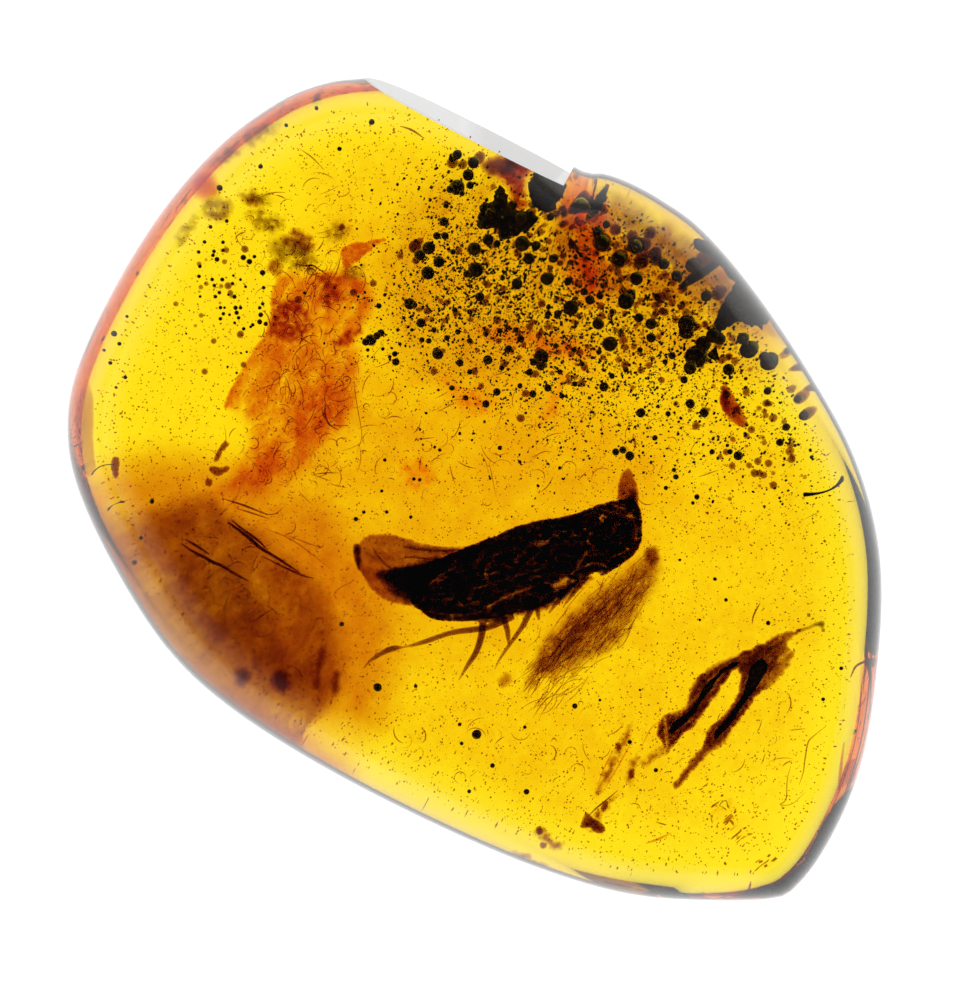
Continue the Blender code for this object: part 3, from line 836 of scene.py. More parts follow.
membrane = add_piece(
    "torn_membrane_film",
    membrane_stuff,
    [
        lens(MEMBRANE_OUTLINE, -0.12, 0.080, 0.30, spacing=0.04, soft=True, relief=fibrous, ragged=0.08),
        lens(MEMBRANE_CORE, 0.12, 0.085, 0.34, spacing=0.04, soft=True, relief=fibrous, ragged=0.08),
        lens(MEMBRANE_KNOB, 0.40, 0.10, 0.12, spacing=0.04, soft=True, ragged=0.04),
        lens(MEMBRANE_BLOTCH, -0.12, 0.05, 0.10, spacing=0.05, soft=True, ragged=0.04),
    ],
)
rng = np.random.default_rng(11)
strands = []
for _ in range(FIBRES):
    start = np.array((rng.uniform(*FIBRE_SPAN), 0.0))
    start[1] = -2.10 - 0.92 * (3.1 - start[0]) + rng.normal(-0.08, 0.42)
    turn = MEMBRANE_RUN + rng.normal(0, 0.14)
    length = rng.uniform(*FIBRE_LENGTHS)
    bend = rng.normal(0, 0.4)
    steps = np.linspace(0, 1, 5)
    turns = turn + bend * steps
    ways = np.column_stack([np.cos(turns), np.sin(turns)])
    path = start + ways * (length * (steps - 0.5))[:, None]
    strands.append(line(path, rng.uniform(*FIBRE_DEPTHS), FIBRE_RADIUS))
fibres = add_piece("torn_membrane_fibres", fibre_stuff, strands)
for piece in (membrane, fibres):
    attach(piece, "root")
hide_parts("torn_membrane")

# Plant splinter: a split sliver of bark or stem, forked like a wishbone, black in the middle and
# red-brown along its thin edges.
SPLINTER_OUTLINE = (
    (6.53, -2.76, 0.02), (6.35, -2.80), (6.03, -2.90), (5.71, -3.06), (5.37, -3.22), (5.13, -3.34),
    (4.91, -3.40), (4.63, -3.58), (4.39, -3.82), (4.27, -4.04), (4.21, -4.28), (4.03, -4.40),
    (3.85, -4.48), (3.65, -4.68), (3.67, -4.94), (3.81, -5.16), (3.85, -5.34), (3.95, -5.16),
    (4.15, -4.92), (4.39, -4.74), (4.53, -4.54), (4.73, -4.26), (4.93, -4.00), (5.13, -3.70),
    (5.25, -3.60), (5.31, -3.76), (5.25, -4.04), (5.09, -4.36), (4.81, -4.62), (4.63, -4.82),
    (4.55, -5.10), (4.31, -5.40), (4.07, -5.72), (3.95, -5.90), (4.03, -6.02), (4.17, -5.88),
    (4.39, -5.58), (4.69, -5.32), (4.97, -5.12), (5.13, -4.86), (5.37, -4.54), (5.57, -4.26),
    (5.79, -4.02), (6.03, -3.86), (6.21, -3.64), (6.37, -3.36), (6.41, -3.22), (6.25, -3.10),
    (6.37, -2.94), (6.53, -2.82),
)
SPLINTER_TAIL = (
    (6.43, -2.80), (6.67, -2.70), (6.91, -2.60), (6.99, -2.66), (6.95, -2.80), (6.83, -2.74),
    (6.63, -2.80), (6.47, -2.86),
)
SPLINTER_ARM_CORE = (
    (5.19, -3.44), (4.95, -3.58), (4.75, -3.76), (4.57, -3.98), (4.45, -4.20), (4.31, -4.40),
    (4.09, -4.56), (3.91, -4.72), (3.93, -4.88), (4.11, -4.74), (4.31, -4.58), (4.47, -4.36),
    (4.63, -4.10), (4.83, -3.84), (5.03, -3.62), (5.27, -3.50),
)
SPLINTER_FORK_CORE = (
    (5.75, -3.36), (5.57, -3.48), (5.47, -3.68), (5.41, -3.94), (5.29, -4.22), (5.11, -4.48),
    (4.89, -4.74), (4.77, -4.94), (4.85, -4.96), (5.07, -4.72), (5.29, -4.44), (5.47, -4.16),
    (5.65, -3.94), (5.81, -3.70), (5.87, -3.48),
)
SPLINTER_THIN = (  # (width, what is left of its thickness, line)
    (0.22, 0.30, (6.31, -3.00), (6.31, -3.30), (6.15, -3.64), (5.91, -3.84)),
    (0.20, 0.60, (3.99, -5.96), (4.19, -5.72), (4.39, -5.48), (4.59, -5.28)),
    (0.06, 0.35, (4.39, -3.86), (4.27, -4.12), (4.21, -4.32), (3.95, -4.46)),
    (0.05, 0.30, (4.63, -3.62), (4.95, -3.44), (5.27, -3.30)),
    (0.03, 0.10, (3.80, -4.56), (3.83, -4.84), (3.86, -5.12)),
    (0.04, 0.10, (4.61, -4.00), (4.67, -3.92), (4.71, -3.88)),
    (0.05, 0.40, (5.39, -4.50), (5.15, -4.82), (4.95, -5.06), (4.69, -5.28)),
)
SPLINTER_DOTS = ((6.95, -2.80), (6.67, -2.50))
BARE_WOOD = "#1A0A05"
RED_WOOD = "#5A200C"

splinter_skin = see_through("red_bast", "#A06C46", 0.10)


def dark_wood():
    """Old wood soaked with resin: matt and near black, with the grain along it a little redder."""
    material, tree, output = new_material("resin_soaked_wood")
    place = add_node(tree, "ShaderNodeTexCoord")
    turned = add_node(
        tree,
        "ShaderNodeMapping",
        {"Vector": place.outputs["Object"]},
        Rotation=(0, 0, np.radians(-48)),
        Scale=(900.0, 9000.0, 9000.0),
    )
    grain = add_node(
        tree, "ShaderNodeTexNoise", {"Vector": turned.outputs["Vector"]}, Scale=1.0, Detail=4.0
    )
    rings = two_toned(tree, grain.outputs["Fac"], BARE_WOOD, RED_WOOD, start=0.40, end=0.72)
    dented(tree, output, rings, grain.outputs["Fac"], strength=0.6, distance=0.00003, roughness=0.6)
    return material


def splintered(spots):
    """The splinter's thickness: furrowed along its grain, and thin towards some of its edges."""
    share = 0.95 + 0.55 * wander(spots, 0.08, stretch=5, turn=np.radians(42), seed=4.6)
    share += 0.45 * wander(spots, 0.05, seed=5.6)
    for width, least, *edge in SPLINTER_THIN:
        share *= 1 - (1 - least) * np.exp(-((away_from(spots, edge) / width) ** 2))
    return share


splinter = add_piece(
    "plant_splinter_skin",
    splinter_skin,
    [lens(SPLINTER_OUTLINE, 0.0, 0.120, 0.07, spacing=0.035, soft=True, relief=splintered, ragged=0.04)],
)
splinter_core = add_piece(
    "plant_splinter_wood",
    dark_wood(),
    [
        lens(SPLINTER_ARM_CORE, 0.0, 0.08, 0.10, spacing=0.05, ragged=0.03),
        lens(SPLINTER_FORK_CORE, 0.0, 0.08, 0.10, spacing=0.05, ragged=0.03),
    ],
)
splinter_tail = add_piece(
    "plant_splinter_tail",
    see_through("bast_fibre", "#8E7A38", 0.08),
    [lens(SPLINTER_TAIL, 0.0, 0.06, 0.08, spacing=0.04, soft=True, ragged=0.02)]
    + [thread([(x - 0.03, y, 0.0, 0.04), (x + 0.03, y, 0.0, 0.04)]) for x, y in SPLINTER_DOTS],
)
for piece in (splinter, splinter_core, splinter_tail):
    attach(piece, "root")
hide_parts("plant_splinter")

# Leaf flake: a curled scrap of leaf or bud scale at the right, brown and thin.
LEAF_OUTLINE = (
    (4.95, 2.02), (5.07, 2.08), (5.17, 1.92), (5.27, 1.72), (5.37, 1.54), (5.47, 1.30),
    (5.35, 1.24), (5.19, 1.30), (5.05, 1.44), (4.93, 1.64), (4.89, 1.84),
)
LEAF_SPINE = ((5.01, 2.12), (4.99, 1.92), (4.99, 1.72), (5.07, 1.52))

leaf_stuff = see_through("brown_leaf", "#B4642A", 0.12)


def leafy(spots):
    """The leaf's thickness, ribbed along it."""
    return 0.9 + 0.5 * wander(spots, 0.12, stretch=4, turn=-1.0, seed=5.0)


leaf = add_piece(
    "leaf_flake_scrap",
    leaf_stuff,
    [
        lens(LEAF_OUTLINE, -0.10, 0.09, 0.12, spacing=0.05, ragged=0.03, relief=leafy),
        line(LEAF_SPINE, 0.14, 0.08),
    ],
)
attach(leaf, "root")
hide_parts("leaf_flake")

# Charred bark: two black lumps at the top, run together with the froth around them, and one that
# lies against the right-hand edge.
CLOT_LEFT = (
    (0.05, 5.48), (0.13, 5.72), (0.31, 5.76), (0.47, 6.06), (0.57, 6.00), (0.67, 5.78),
    (0.71, 5.58), (0.95, 5.54), (1.09, 5.58), (1.23, 5.46), (1.19, 5.30), (1.01, 5.20),
    (0.91, 5.10), (0.73, 5.06), (0.57, 4.98), (0.47, 5.06), (0.43, 5.20), (0.25, 5.24),
    (0.07, 5.26),
)
CLOT_RIGHT = (
    (1.05, 6.06), (1.13, 6.28), (1.23, 6.38), (1.37, 6.24), (1.61, 6.20), (1.75, 6.06),
    (1.79, 5.92), (1.67, 5.76), (1.57, 5.58), (1.37, 5.50), (1.23, 5.62), (1.09, 5.76),
)
CLOT_EDGE = (
    (4.91, 3.70), (5.05, 3.98), (5.25, 4.12), (5.47, 3.94), (5.71, 3.70), (5.85, 3.42),
    (5.71, 3.28), (5.43, 3.28), (5.25, 3.36), (5.05, 3.22), (4.87, 3.14), (4.77, 3.28),
)
CLOT_EDGE_TOP = (
    (4.35, 4.92), (4.51, 4.96), (4.75, 4.80), (4.99, 4.56), (5.19, 4.32), (5.39, 4.04),
    (5.27, 3.96), (5.07, 4.12), (4.87, 4.40), (4.59, 4.64), (4.39, 4.76),
)


def char():
    """Bark burnt to charcoal: dead black, dull and crumbling."""
    material, tree, output = new_material("bark_charcoal")
    place = add_node(tree, "ShaderNodeTexCoord")
    crumbs = add_node(
        tree, "ShaderNodeTexNoise", {"Vector": place.outputs["Object"]}, Scale=7000.0, Detail=5.0
    )
    soot = two_toned(tree, crumbs.outputs["Fac"], "#060404", "#2A1008", start=0.35, end=0.75)
    dented(tree, output, soot, crumbs.outputs["Fac"], strength=0.8, distance=0.00004, roughness=0.7)
    return material


charcoal = char()


def crumbly(spots):
    """The thickness of a lump of charcoal, uneven as it crumbles."""
    return 0.8 + 0.5 * wander(spots, 0.14, seed=6.0)


clot = add_piece(
    "bark_char_lumps",
    charcoal,
    [
        lens(CLOT_LEFT, 0.0, 0.34, 0.30, spacing=0.05, relief=crumbly, ragged=0.06),
        lens(CLOT_RIGHT, 0.05, 0.26, 0.26, spacing=0.05, relief=crumbly, ragged=0.06),
    ],
)
edge_clot = add_piece(
    "edge_bark_char_lump",
    charcoal,
    [
        lens(CLOT_EDGE, 0.0, 0.24, 0.24, spacing=0.05, relief=crumbly, ragged=0.06),
        lens(CLOT_EDGE_TOP, 0.0, 0.08, 0.14, spacing=0.05, soft=True, relief=crumbly, ragged=0.06),
    ],
)
for piece, node in ((clot, "bark_char"), (edge_clot, "edge_bark_char")):
    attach(piece, "root")
    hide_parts(node)

# Resin flows: stains in the amber where bark sap ran into it. They have no surface of their own,
# only a colour that deepens with their thickness: a warm cast through the middle, an orange film
# left of the insect, a brown cloud over the lower left, and hazes round the charred bark. With
# the brown cloud goes a brown strip along the left rim, which is painted shade, not sap.
WARM_FLOW = (
    (-5.39, 0.80), (-4.99, 2.80), (-3.69, 4.80), (-1.49, 6.00), (1.31, 6.10), (3.91, 5.10),
    (6.11, 3.20), (7.51, 1.00), (7.75, -1.80), (7.31, -4.20), (5.71, -6.00), (3.31, -7.00),
    (0.51, -6.20), (-1.69, -5.20), (-3.49, -3.80), (-5.09, -1.60),
)
WARM_HEART = (
    (-4.69, 1.00), (-3.49, 2.40), (-1.49, 3.20), (1.31, 3.20), (3.31, 2.40), (4.61, 1.00),
    (4.31, -1.40), (2.71, -3.00), (0.91, -4.00), (-1.49, -3.80), (-3.29, -2.20), (-4.49, -0.60),
)
WARM_TOP = (
    (-3.49, 6.00), (-2.49, 6.80), (-0.89, 7.20), (0.91, 6.80), (2.51, 6.00), (4.11, 5.00),
    (5.71, 3.60), (6.31, 2.40), (4.31, 1.60), (1.71, 1.40), (-0.69, 1.60), (-2.49, 2.80),
    (-3.49, 4.40),
)
WARM_FOOT = (
    (-2.89, -4.20), (-1.09, -3.80), (1.31, -3.80), (3.71, -4.00), (4.51, -5.00), (3.31, -6.20),
    (1.71, -6.80), (-0.09, -6.20), (-1.89, -5.40),
)
WARM_FLOWS = (  # (name, outline, depth, half thickness, fade, size of its clouds, how cloudy, seed)
    ("warm_flow_deep", WARM_FLOW, -2.6, 0.30, 1.6, 0.9, 0.5, 12.0),
    ("warm_flow_heart", WARM_HEART, -1.9, 0.95, 1.7, 0.7, 0.5, 13.0),
    ("warm_flow_top", WARM_TOP, -1.6, 0.55, 1.4, 0.5, 0.6, 14.0),
    ("warm_flow_foot", WARM_FOOT, -1.6, 0.28, 1.0, 0.4, 0.8, 15.0),
)
SMOKE = (
    (-2.05, 4.60), (-1.65, 5.80), (-0.69, 6.60), (0.31, 6.80), (1.71, 6.28), (3.11, 5.80),
    (4.51, 4.80), (5.71, 3.60), (6.31, 2.40), (5.91, 1.80), (4.71, 2.20), (3.31, 2.32),
    (1.91, 2.32), (0.51, 1.88), (-0.89, 1.96), (-1.79, 2.68),
)
SMOKE_HEART = (
    (1.71, 5.88), (2.71, 5.88), (3.91, 5.16), (4.91, 4.48), (5.79, 3.56), (5.91, 3.00),
    (5.39, 2.92), (4.63, 3.36), (3.61, 3.60), (2.51, 3.72), (1.75, 4.12), (1.41, 5.00),
)
BROWN_SKIRT = (
    (-7.93, 0.28), (-7.41, 0.88), (-6.29, 1.20), (-4.97, 1.00), (-3.69, 0.44), (-2.57, -0.20),
    (-1.69, -1.24), (-1.13, -2.80), (-1.21, -4.20), (-1.93, -5.24), (-3.29, -4.96), (-4.49, -4.20),
    (-5.53, -3.44), (-6.41, -2.32), (-7.13, -1.20), (-7.69, -0.32),
)
SKIRT_GAP = np.array((-5.09, -2.20))  # the cloud's middle, where its skirt is thin
SKIRT_GAP_REACH = 1.2
SKIRT_GAP_SHARE = 0.75  # how much of the skirt's thickness is missing there
ORANGE_FILM = (
    (-3.91, 4.44, 0.30), (-4.03, 4.10, 0.10), (-4.09, 3.72, 0.06), (-4.11, 3.36, 0.06),
    (-4.31, 2.98, 0.06), (-4.53, 2.64, 0.06), (-4.73, 2.32, 0.06), (-4.87, 2.04, 0.06),
    (-4.97, 1.82, 0.06), (-4.99, 1.60, 0.10), (-4.77, 1.46, 0.30), (-4.63, 1.16, 0.40),
    (-4.67, 0.84, 0.40), (-4.89, 0.40, 0.40), (-5.17, 0.00, 0.40), (-4.69, -0.20, 0.60),
    (-3.89, -0.20, 0.80), (-3.21, 0.28, 0.60), (-2.95, 0.80, 0.30), (-2.69, 1.12, 0.20),
    (-2.45, 1.40, 0.30), (-2.25, 1.84, 0.30), (-2.09, 2.32, 0.50), (-2.21, 2.80, 0.40),
    (-2.17, 3.20, 0.30), (-2.01, 3.44, 0.30), (-1.93, 3.88, 0.30), (-2.09, 4.24, 0.30),
    (-2.41, 4.36, 0.20), (-2.89, 4.44, 0.20), (-3.41, 4.44, 0.30),
)
ORANGE_HEART = (
    (-3.57, 2.12), (-3.13, 2.24), (-2.69, 2.20), (-2.41, 1.96), (-2.49, 1.48), (-2.81, 1.12),
    (-3.05, 0.76), (-3.41, 0.76), (-3.69, 1.08), (-3.81, 1.48), (-3.77, 1.84),
)
ORANGE_FOOT = (
    (-4.77, 0.76), (-4.25, 1.08), (-3.69, 1.00), (-3.25, 0.68), (-3.37, 0.20), (-3.89, -0.20),
    (-4.49, -0.52), (-5.21, -0.40), (-5.49, -0.08), (-5.17, 0.32),
)
ORANGE_WING = (
    (-2.67, 4.80), (-2.45, 4.94), (-2.17, 4.98), (-1.73, 5.04), (-1.97, 4.84), (-2.15, 4.70),
    (-2.37, 4.52), (-2.59, 4.40),
)
ORANGE_SHOULDER = (
    (-2.73, 4.56), (-2.37, 4.40), (-2.05, 4.20), (-1.97, 3.88), (-2.17, 3.56), (-2.45, 3.68),
    (-2.61, 3.96), (-2.81, 4.24),
)
BROWN_CLOUD = (
    (-7.49, -0.32, 0.9), (-6.79, -0.16, 0.9), (-6.13, -0.02, 0.7), (-5.65, 0.04, 0.5),
    (-5.25, 0.00, 0.4), (-4.93, -0.24, 0.4), (-4.53, -0.48, 0.5), (-4.17, -0.68, 0.6),
    (-3.65, -1.12, 0.6), (-3.09, -1.60, 0.6), (-2.77, -2.04, 0.6), (-2.57, -2.56, 0.6),
    (-2.41, -3.08, 0.7), (-2.37, -3.56, 0.6), (-2.45, -3.96, 0.6), (-2.57, -4.24, 0.6),
    (-2.77, -4.44, 0.5), (-3.09, -4.60, 0.3), (-3.41, -4.72, 0.5), (-3.83, -4.52, 0.5),
    (-4.57, -4.14, 0.5), (-5.09, -3.88, 0.5), (-5.67, -3.32, 0.5), (-6.09, -2.80, 0.5),
    (-6.45, -2.26, 0.5), (-6.77, -1.68, 0.5), (-7.05, -1.16, 0.5), (-7.33, -0.68, 0.7),
)
BROWN_DEEPER = (
    (-6.49, -1.40), (-5.89, -1.00), (-5.21, -1.16), (-4.49, -1.64), (-3.89, -2.32), (-3.49, -3.00),
    (-2.89, -3.40), (-2.85, -4.00), (-3.49, -4.32), (-4.25, -4.12), (-4.93, -3.72), (-5.49, -3.20),
    (-5.97, -2.60), (-6.29, -2.00),
)
BROWN_MOTTLES = (
    (
        (-5.05, -1.24), (-4.69, -1.40), (-4.37, -1.72), (-4.49, -2.04), (-4.85, -1.96),
        (-5.17, -1.64),
    ),
    (
        (-5.37, -2.32), (-4.93, -2.40), (-4.77, -2.76), (-4.93, -3.12), (-5.33, -3.04),
        (-5.57, -2.68),
    ),
    ((-4.89, -1.88), (-4.25, -2.12), (-4.09, -2.60), (-4.41, -2.92), (-4.77, -2.60)),
    (
        (-5.73, -1.52), (-5.41, -1.80), (-5.21, -2.20), (-5.49, -2.44), (-5.81, -2.12),
        (-5.97, -1.76),
    ),
    (
        (-6.49, -0.28), (-5.97, -0.36), (-5.49, -0.60), (-5.57, -0.92), (-6.09, -0.80),
        (-6.49, -0.60),
    ),
)
DARK_PATCHES = (
    (
        (-4.77, -3.56), (-4.57, -3.46), (-4.41, -3.56), (-4.39, -3.76), (-4.57, -3.88),
        (-4.75, -3.80),
    ),
    (
        (-4.05, -3.64), (-3.85, -3.52), (-3.65, -3.64), (-3.61, -3.88), (-3.73, -4.08),
        (-3.97, -4.00), (-4.09, -3.84),
    ),
    (
        (-3.13, -3.12), (-2.97, -3.16), (-2.99, -3.40), (-3.05, -3.68), (-3.09, -4.00),
        (-3.25, -3.96), (-3.23, -3.64), (-3.17, -3.36),
    ),
    (
        (-2.85, -3.64), (-2.69, -3.60), (-2.63, -3.80), (-2.69, -4.04), (-2.83, -4.16),
        (-2.91, -3.96),
    ),
)
RED_PATCHES = (
    (
        (-3.21, 4.36), (-2.97, 4.40), (-2.69, 4.28), (-2.59, 4.04), (-2.67, 3.76), (-2.83, 3.56),
        (-3.03, 3.58), (-3.13, 3.80), (-3.09, 4.00),
    ),
    (
        (-4.05, 3.74), (-3.91, 3.86), (-3.69, 3.84), (-3.45, 3.80), (-3.25, 3.40), (-3.49, 3.36),
        (-3.75, 3.34), (-4.07, 3.32),
    ),
    ((-4.13, 3.44), (-3.69, 3.44), (-3.25, 3.36), (-3.37, 3.04), (-3.69, 2.92), (-4.09, 3.00)),
    ((-2.89, 3.00), (-2.49, 3.20), (-2.25, 3.36), (-2.25, 3.08), (-2.53, 2.88), (-2.77, 2.80)),
)
CLOT_GLOW = (
    (0.51, 6.56), (0.75, 6.64), (1.11, 6.60), (1.43, 6.44), (1.71, 6.28), (1.75, 6.12),
    (1.63, 6.16), (1.47, 6.26), (1.23, 6.32), (1.07, 6.20), (1.03, 5.88), (1.11, 5.68),
    (0.91, 5.54), (0.67, 5.56), (0.67, 5.88), (0.55, 6.08), (0.39, 6.24),
)
CLOT_CAP = (
    (0.11, 6.52), (0.27, 6.62), (0.53, 6.68), (0.85, 6.64), (1.03, 6.52), (0.91, 6.36),
    (0.67, 6.28), (0.39, 6.20), (0.19, 6.28),
)
CLOT_BAND = (
    (1.11, 6.52), (1.33, 6.46), (1.61, 6.34), (1.91, 6.20), (1.91, 6.08), (1.63, 6.16),
    (1.33, 6.32),
)
ORANGE_HAZE = (
    (1.47, 5.88), (1.71, 6.20), (2.11, 6.12), (2.59, 5.88), (2.83, 5.40), (2.75, 4.80),
    (2.83, 4.20), (2.63, 3.68), (2.23, 3.56), (1.83, 3.88), (1.71, 4.40), (1.83, 4.92),
    (1.63, 5.36),
)
ORANGE_HAZE_BELOW = (
    (-0.09, 3.20), (0.51, 3.44), (1.31, 3.28), (2.11, 3.08), (2.51, 2.80), (2.31, 2.48),
    (1.71, 2.48), (0.91, 2.76), (0.23, 2.88),
)
OLIVE_HAZE = (
    (2.51, 6.04), (3.31, 5.68), (4.31, 5.04), (5.11, 4.36), (5.91, 3.40), (6.11, 2.80),
    (5.55, 3.00), (5.03, 2.92), (4.51, 3.60), (3.87, 4.16), (3.23, 4.56), (2.67, 5.28),
)
OLIVE_CLOUD = (
    (-4.17, 5.04), (-3.89, 5.16), (-3.57, 5.08), (-3.29, 5.00), (-3.13, 4.76), (-3.33, 4.56),
    (-3.65, 4.56), (-3.81, 4.36), (-3.97, 4.44), (-4.17, 4.72),
)
SMUDGES = (
    (
        (-4.73, 5.88), (-4.49, 6.04), (-4.17, 6.00), (-3.97, 5.80), (-4.13, 5.60), (-4.49, 5.60),
        (-4.69, 5.68),
    ),
    (
        (-4.57, 5.56), (-4.25, 5.68), (-3.85, 5.52), (-3.69, 5.24), (-3.97, 5.04), (-4.33, 5.16),
        (-4.57, 5.36),
    ),
    ((-5.37, 5.76), (-5.05, 5.88), (-4.77, 5.72), (-4.85, 5.44), (-5.21, 5.32), (-5.41, 5.52)),
    ((-4.69, 7.00), (-4.41, 7.24), (-4.05, 7.32), (-3.77, 7.20), (-4.05, 6.96), (-4.45, 6.80)),
    ((-3.77, 4.68), (-3.49, 4.88), (-3.13, 4.76), (-3.01, 4.48), (-3.33, 4.32), (-3.69, 4.40)),
    ((-3.09, 5.20), (-2.73, 5.36), (-2.45, 5.20), (-2.57, 4.92), (-2.93, 4.92)),
    ((-2.69, 4.44), (-2.37, 4.56), (-2.09, 4.40), (-2.25, 4.16), (-2.57, 4.16)),
    ((-2.29, 8.08), (-1.85, 8.12), (-1.49, 7.96), (-1.73, 7.80), (-2.17, 7.84)),
    ((-5.97, 5.08), (-5.73, 5.36), (-5.53, 5.52), (-5.41, 5.36), (-5.61, 5.00), (-5.89, 4.76)),
    ((-5.21, 6.60), (-4.85, 6.88), (-4.57, 7.00), (-4.61, 6.72), (-4.97, 6.44), (-5.21, 6.36)),
)
DARK_SMUDGES = (
    (
        (-3.81, 5.12), (-3.53, 5.24), (-3.25, 5.12), (-3.13, 4.88), (-3.37, 4.72), (-3.69, 4.80),
        (-3.85, 4.96),
    ),
    ((-4.69, 5.80), (-4.49, 5.92), (-4.25, 5.84), (-4.29, 5.68), (-4.53, 5.64)),
    ((-4.13, 4.56), (-3.93, 4.64), (-3.81, 4.44), (-3.97, 4.28), (-4.13, 4.36)),
)
SMEARS = (
    (
        (3.07, -4.64), (3.19, -4.80), (2.95, -5.32), (2.75, -5.76), (2.51, -6.12), (2.39, -6.00),
        (2.59, -5.56), (2.79, -5.16),
    ),
    ((3.19, -5.24), (3.31, -5.40), (3.19, -5.84), (3.03, -5.92), (2.99, -5.64)),
    ((3.31, -5.40), (3.55, -5.20), (3.79, -5.08), (3.87, -5.24), (3.59, -5.44), (3.39, -5.56)),
    (
        (2.11, -6.72), (2.35, -6.44), (2.63, -6.20), (2.87, -6.04), (2.75, -6.32), (2.59, -6.56),
        (2.63, -6.84), (2.39, -6.88),
    ),
    ((1.15, -6.76), (1.31, -6.64), (1.55, -6.88), (1.83, -7.04), (1.71, -7.16), (1.39, -7.04)),
    ((0.67, -7.20), (0.99, -7.16), (1.31, -7.32), (1.55, -7.52), (1.23, -7.52), (0.87, -7.36)),
)
ORANGE_SMEARS = (
    ((-0.77, 2.44), (-0.25, 2.24), (0.35, 2.00), (0.43, 1.56), (-0.09, 1.44), (-0.57, 1.76)),
    ((-1.53, 0.56), (-1.09, 0.72), (-0.73, 0.48), (-0.81, 0.04), (-1.25, -0.04), (-1.53, 0.20)),
    ((1.63, 2.44), (1.99, 2.20), (1.79, 1.64), (1.43, 1.20), (1.19, 1.44), (1.43, 1.92)),
)
ORANGE_BLOB = (
    (-5.57, 6.20), (-5.37, 6.32), (-5.09, 6.24), (-4.97, 6.00), (-5.13, 5.76), (-5.41, 5.72),
    (-5.61, 5.92),
)
# Painted shade: a brown strip along the left rim, darkening it as the steep rim darkens against the back
# light.
LEFT_RIM_SHADE = (
    (-7.81, 1.84), (-7.65, 2.20), (-7.53, 1.80), (-7.53, 1.00), (-7.49, 0.40), (-7.65, 0.32),
    (-7.81, 0.80), (-7.89, 1.32),
)

film_stuff = see_through("orange_sap_stain", "#DE9040", 0.26)
haze_stuff = see_through("orange_haze", "#F0A82E", 0.30)
red_stuff = see_through("red_sap_stain", "#B05A1C", 0.20)
brown_stain_and_shade_stuff = see_through("brown_sap_stain_and_rim_shade", "#BE9250", 0.40)
skirt_stuff = see_through("brown_sap_skirt", "#DEA448", 0.30)
dark_stuff = see_through("dark_sap_stain", "#6A3010", 0.20)
olive_stuff = see_through("olive_sap_stain", "#A89020", 0.30)


def cloudy(size, amount, seed):
    """Relief of a stain that is thicker and thinner by an amount, in clouds of a size."""

    def relief(spots):
        crumbs = 0.35 * wander(spots, 0.10, seed=-seed)
        return 1 + amount * wander(spots, size, seed=seed) + crumbs

    return relief


def swirled(spots):
    """Thickness of the orange film: folded and torn, with clear gaps between its folds."""
    folds = wander(spots, 0.30, stretch=2.4, turn=1.2, seed=8.0)
    return 0.85 + 0.75 * folds + 0.45 * wander(spots, 0.08, stretch=1.6, turn=1.2, seed=9.0)


def smoky(spots):
    """Thickness of the smoke round the froth: curled, with fine crumbs in it."""
    return 0.9 + 0.7 * wander(spots, 0.5, seed=21.0) + 0.7 * wander(spots, 0.12, seed=22.0)


def skirting(spots):
    """Thickness of the skirt round the brown cloud, thin where the cloud itself is thick."""
    near = np.exp(-((np.linalg.norm(spots - SKIRT_GAP, axis=1) / SKIRT_GAP_REACH) ** 2))
    clouds = 1 + 0.25 * wander(spots, 0.4, seed=23.0) + 0.2 * wander(spots, 0.1, seed=24.0)
    return (1 - SKIRT_GAP_SHARE * near) * clouds


smudged = cloudy(0.12, 1.3, 16.0)
smeared = cloudy(0.10, 1.2, 17.0)
orange_smeared = cloudy(0.12, 1.2, 18.0)

warm_stuff = see_through("warm_resin_flow", "#F9ECC1", 1.00)
warm_flows = [
    add_piece(
        name,
        warm_stuff,
        [lens(outline, depth, half, fade, spacing=0.20, soft=True, relief=cloudy(size, amount, seed))],
    )
    for name, outline, depth, half, fade, size, amount, seed in WARM_FLOWS
]
smoke_stuff = see_through("smoky_resin", "#D2A878", 0.20)
smoke = add_piece(
    "smoky_resin",
    smoke_stuff,
    [
        lens(SMOKE, -1.0, 0.034, 0.7, spacing=0.06, soft=True, relief=smoky, ragged=0.1),
        lens(SMOKE_HEART, -0.65, 0.080, 0.4, spacing=0.06, soft=True, relief=smoky, ragged=0.1),
    ],
)
orange_film = add_piece(
    "orange_sap_film",
    film_stuff,
    [
        lens(ORANGE_FILM, -0.6, 0.12, 0.3, spacing=0.06, soft=True, relief=swirled, ragged=0.03),
        lens(ORANGE_HEART, -0.05, 0.09, 0.45, soft=True, relief=cloudy(0.2, 0.7, 1.0), ragged=0.1),
        lens(ORANGE_FOOT, -1.15, 0.07, 0.6, soft=True, relief=cloudy(0.3, 0.6, 2.0), ragged=0.1),
        lens(ORANGE_WING, 0.55, 0.16, 0.10, spacing=0.04, relief=cloudy(0.1, 0.6, 2.4), ragged=0.05),
        lens(ORANGE_SHOULDER, 0.05, 0.08, 0.25, soft=True, relief=cloudy(0.2, 0.7, 3.0), ragged=0.1),
        lens(ORANGE_BLOB, 0.0, 0.20, 0.25, soft=True, ragged=0.05),
    ],
)
brown_skirt = add_piece(
    "brown_sap_skirt",
    skirt_stuff,
    [lens(BROWN_SKIRT, -1.9, 0.16, 1.2, spacing=0.12, soft=True, relief=skirting)],
)
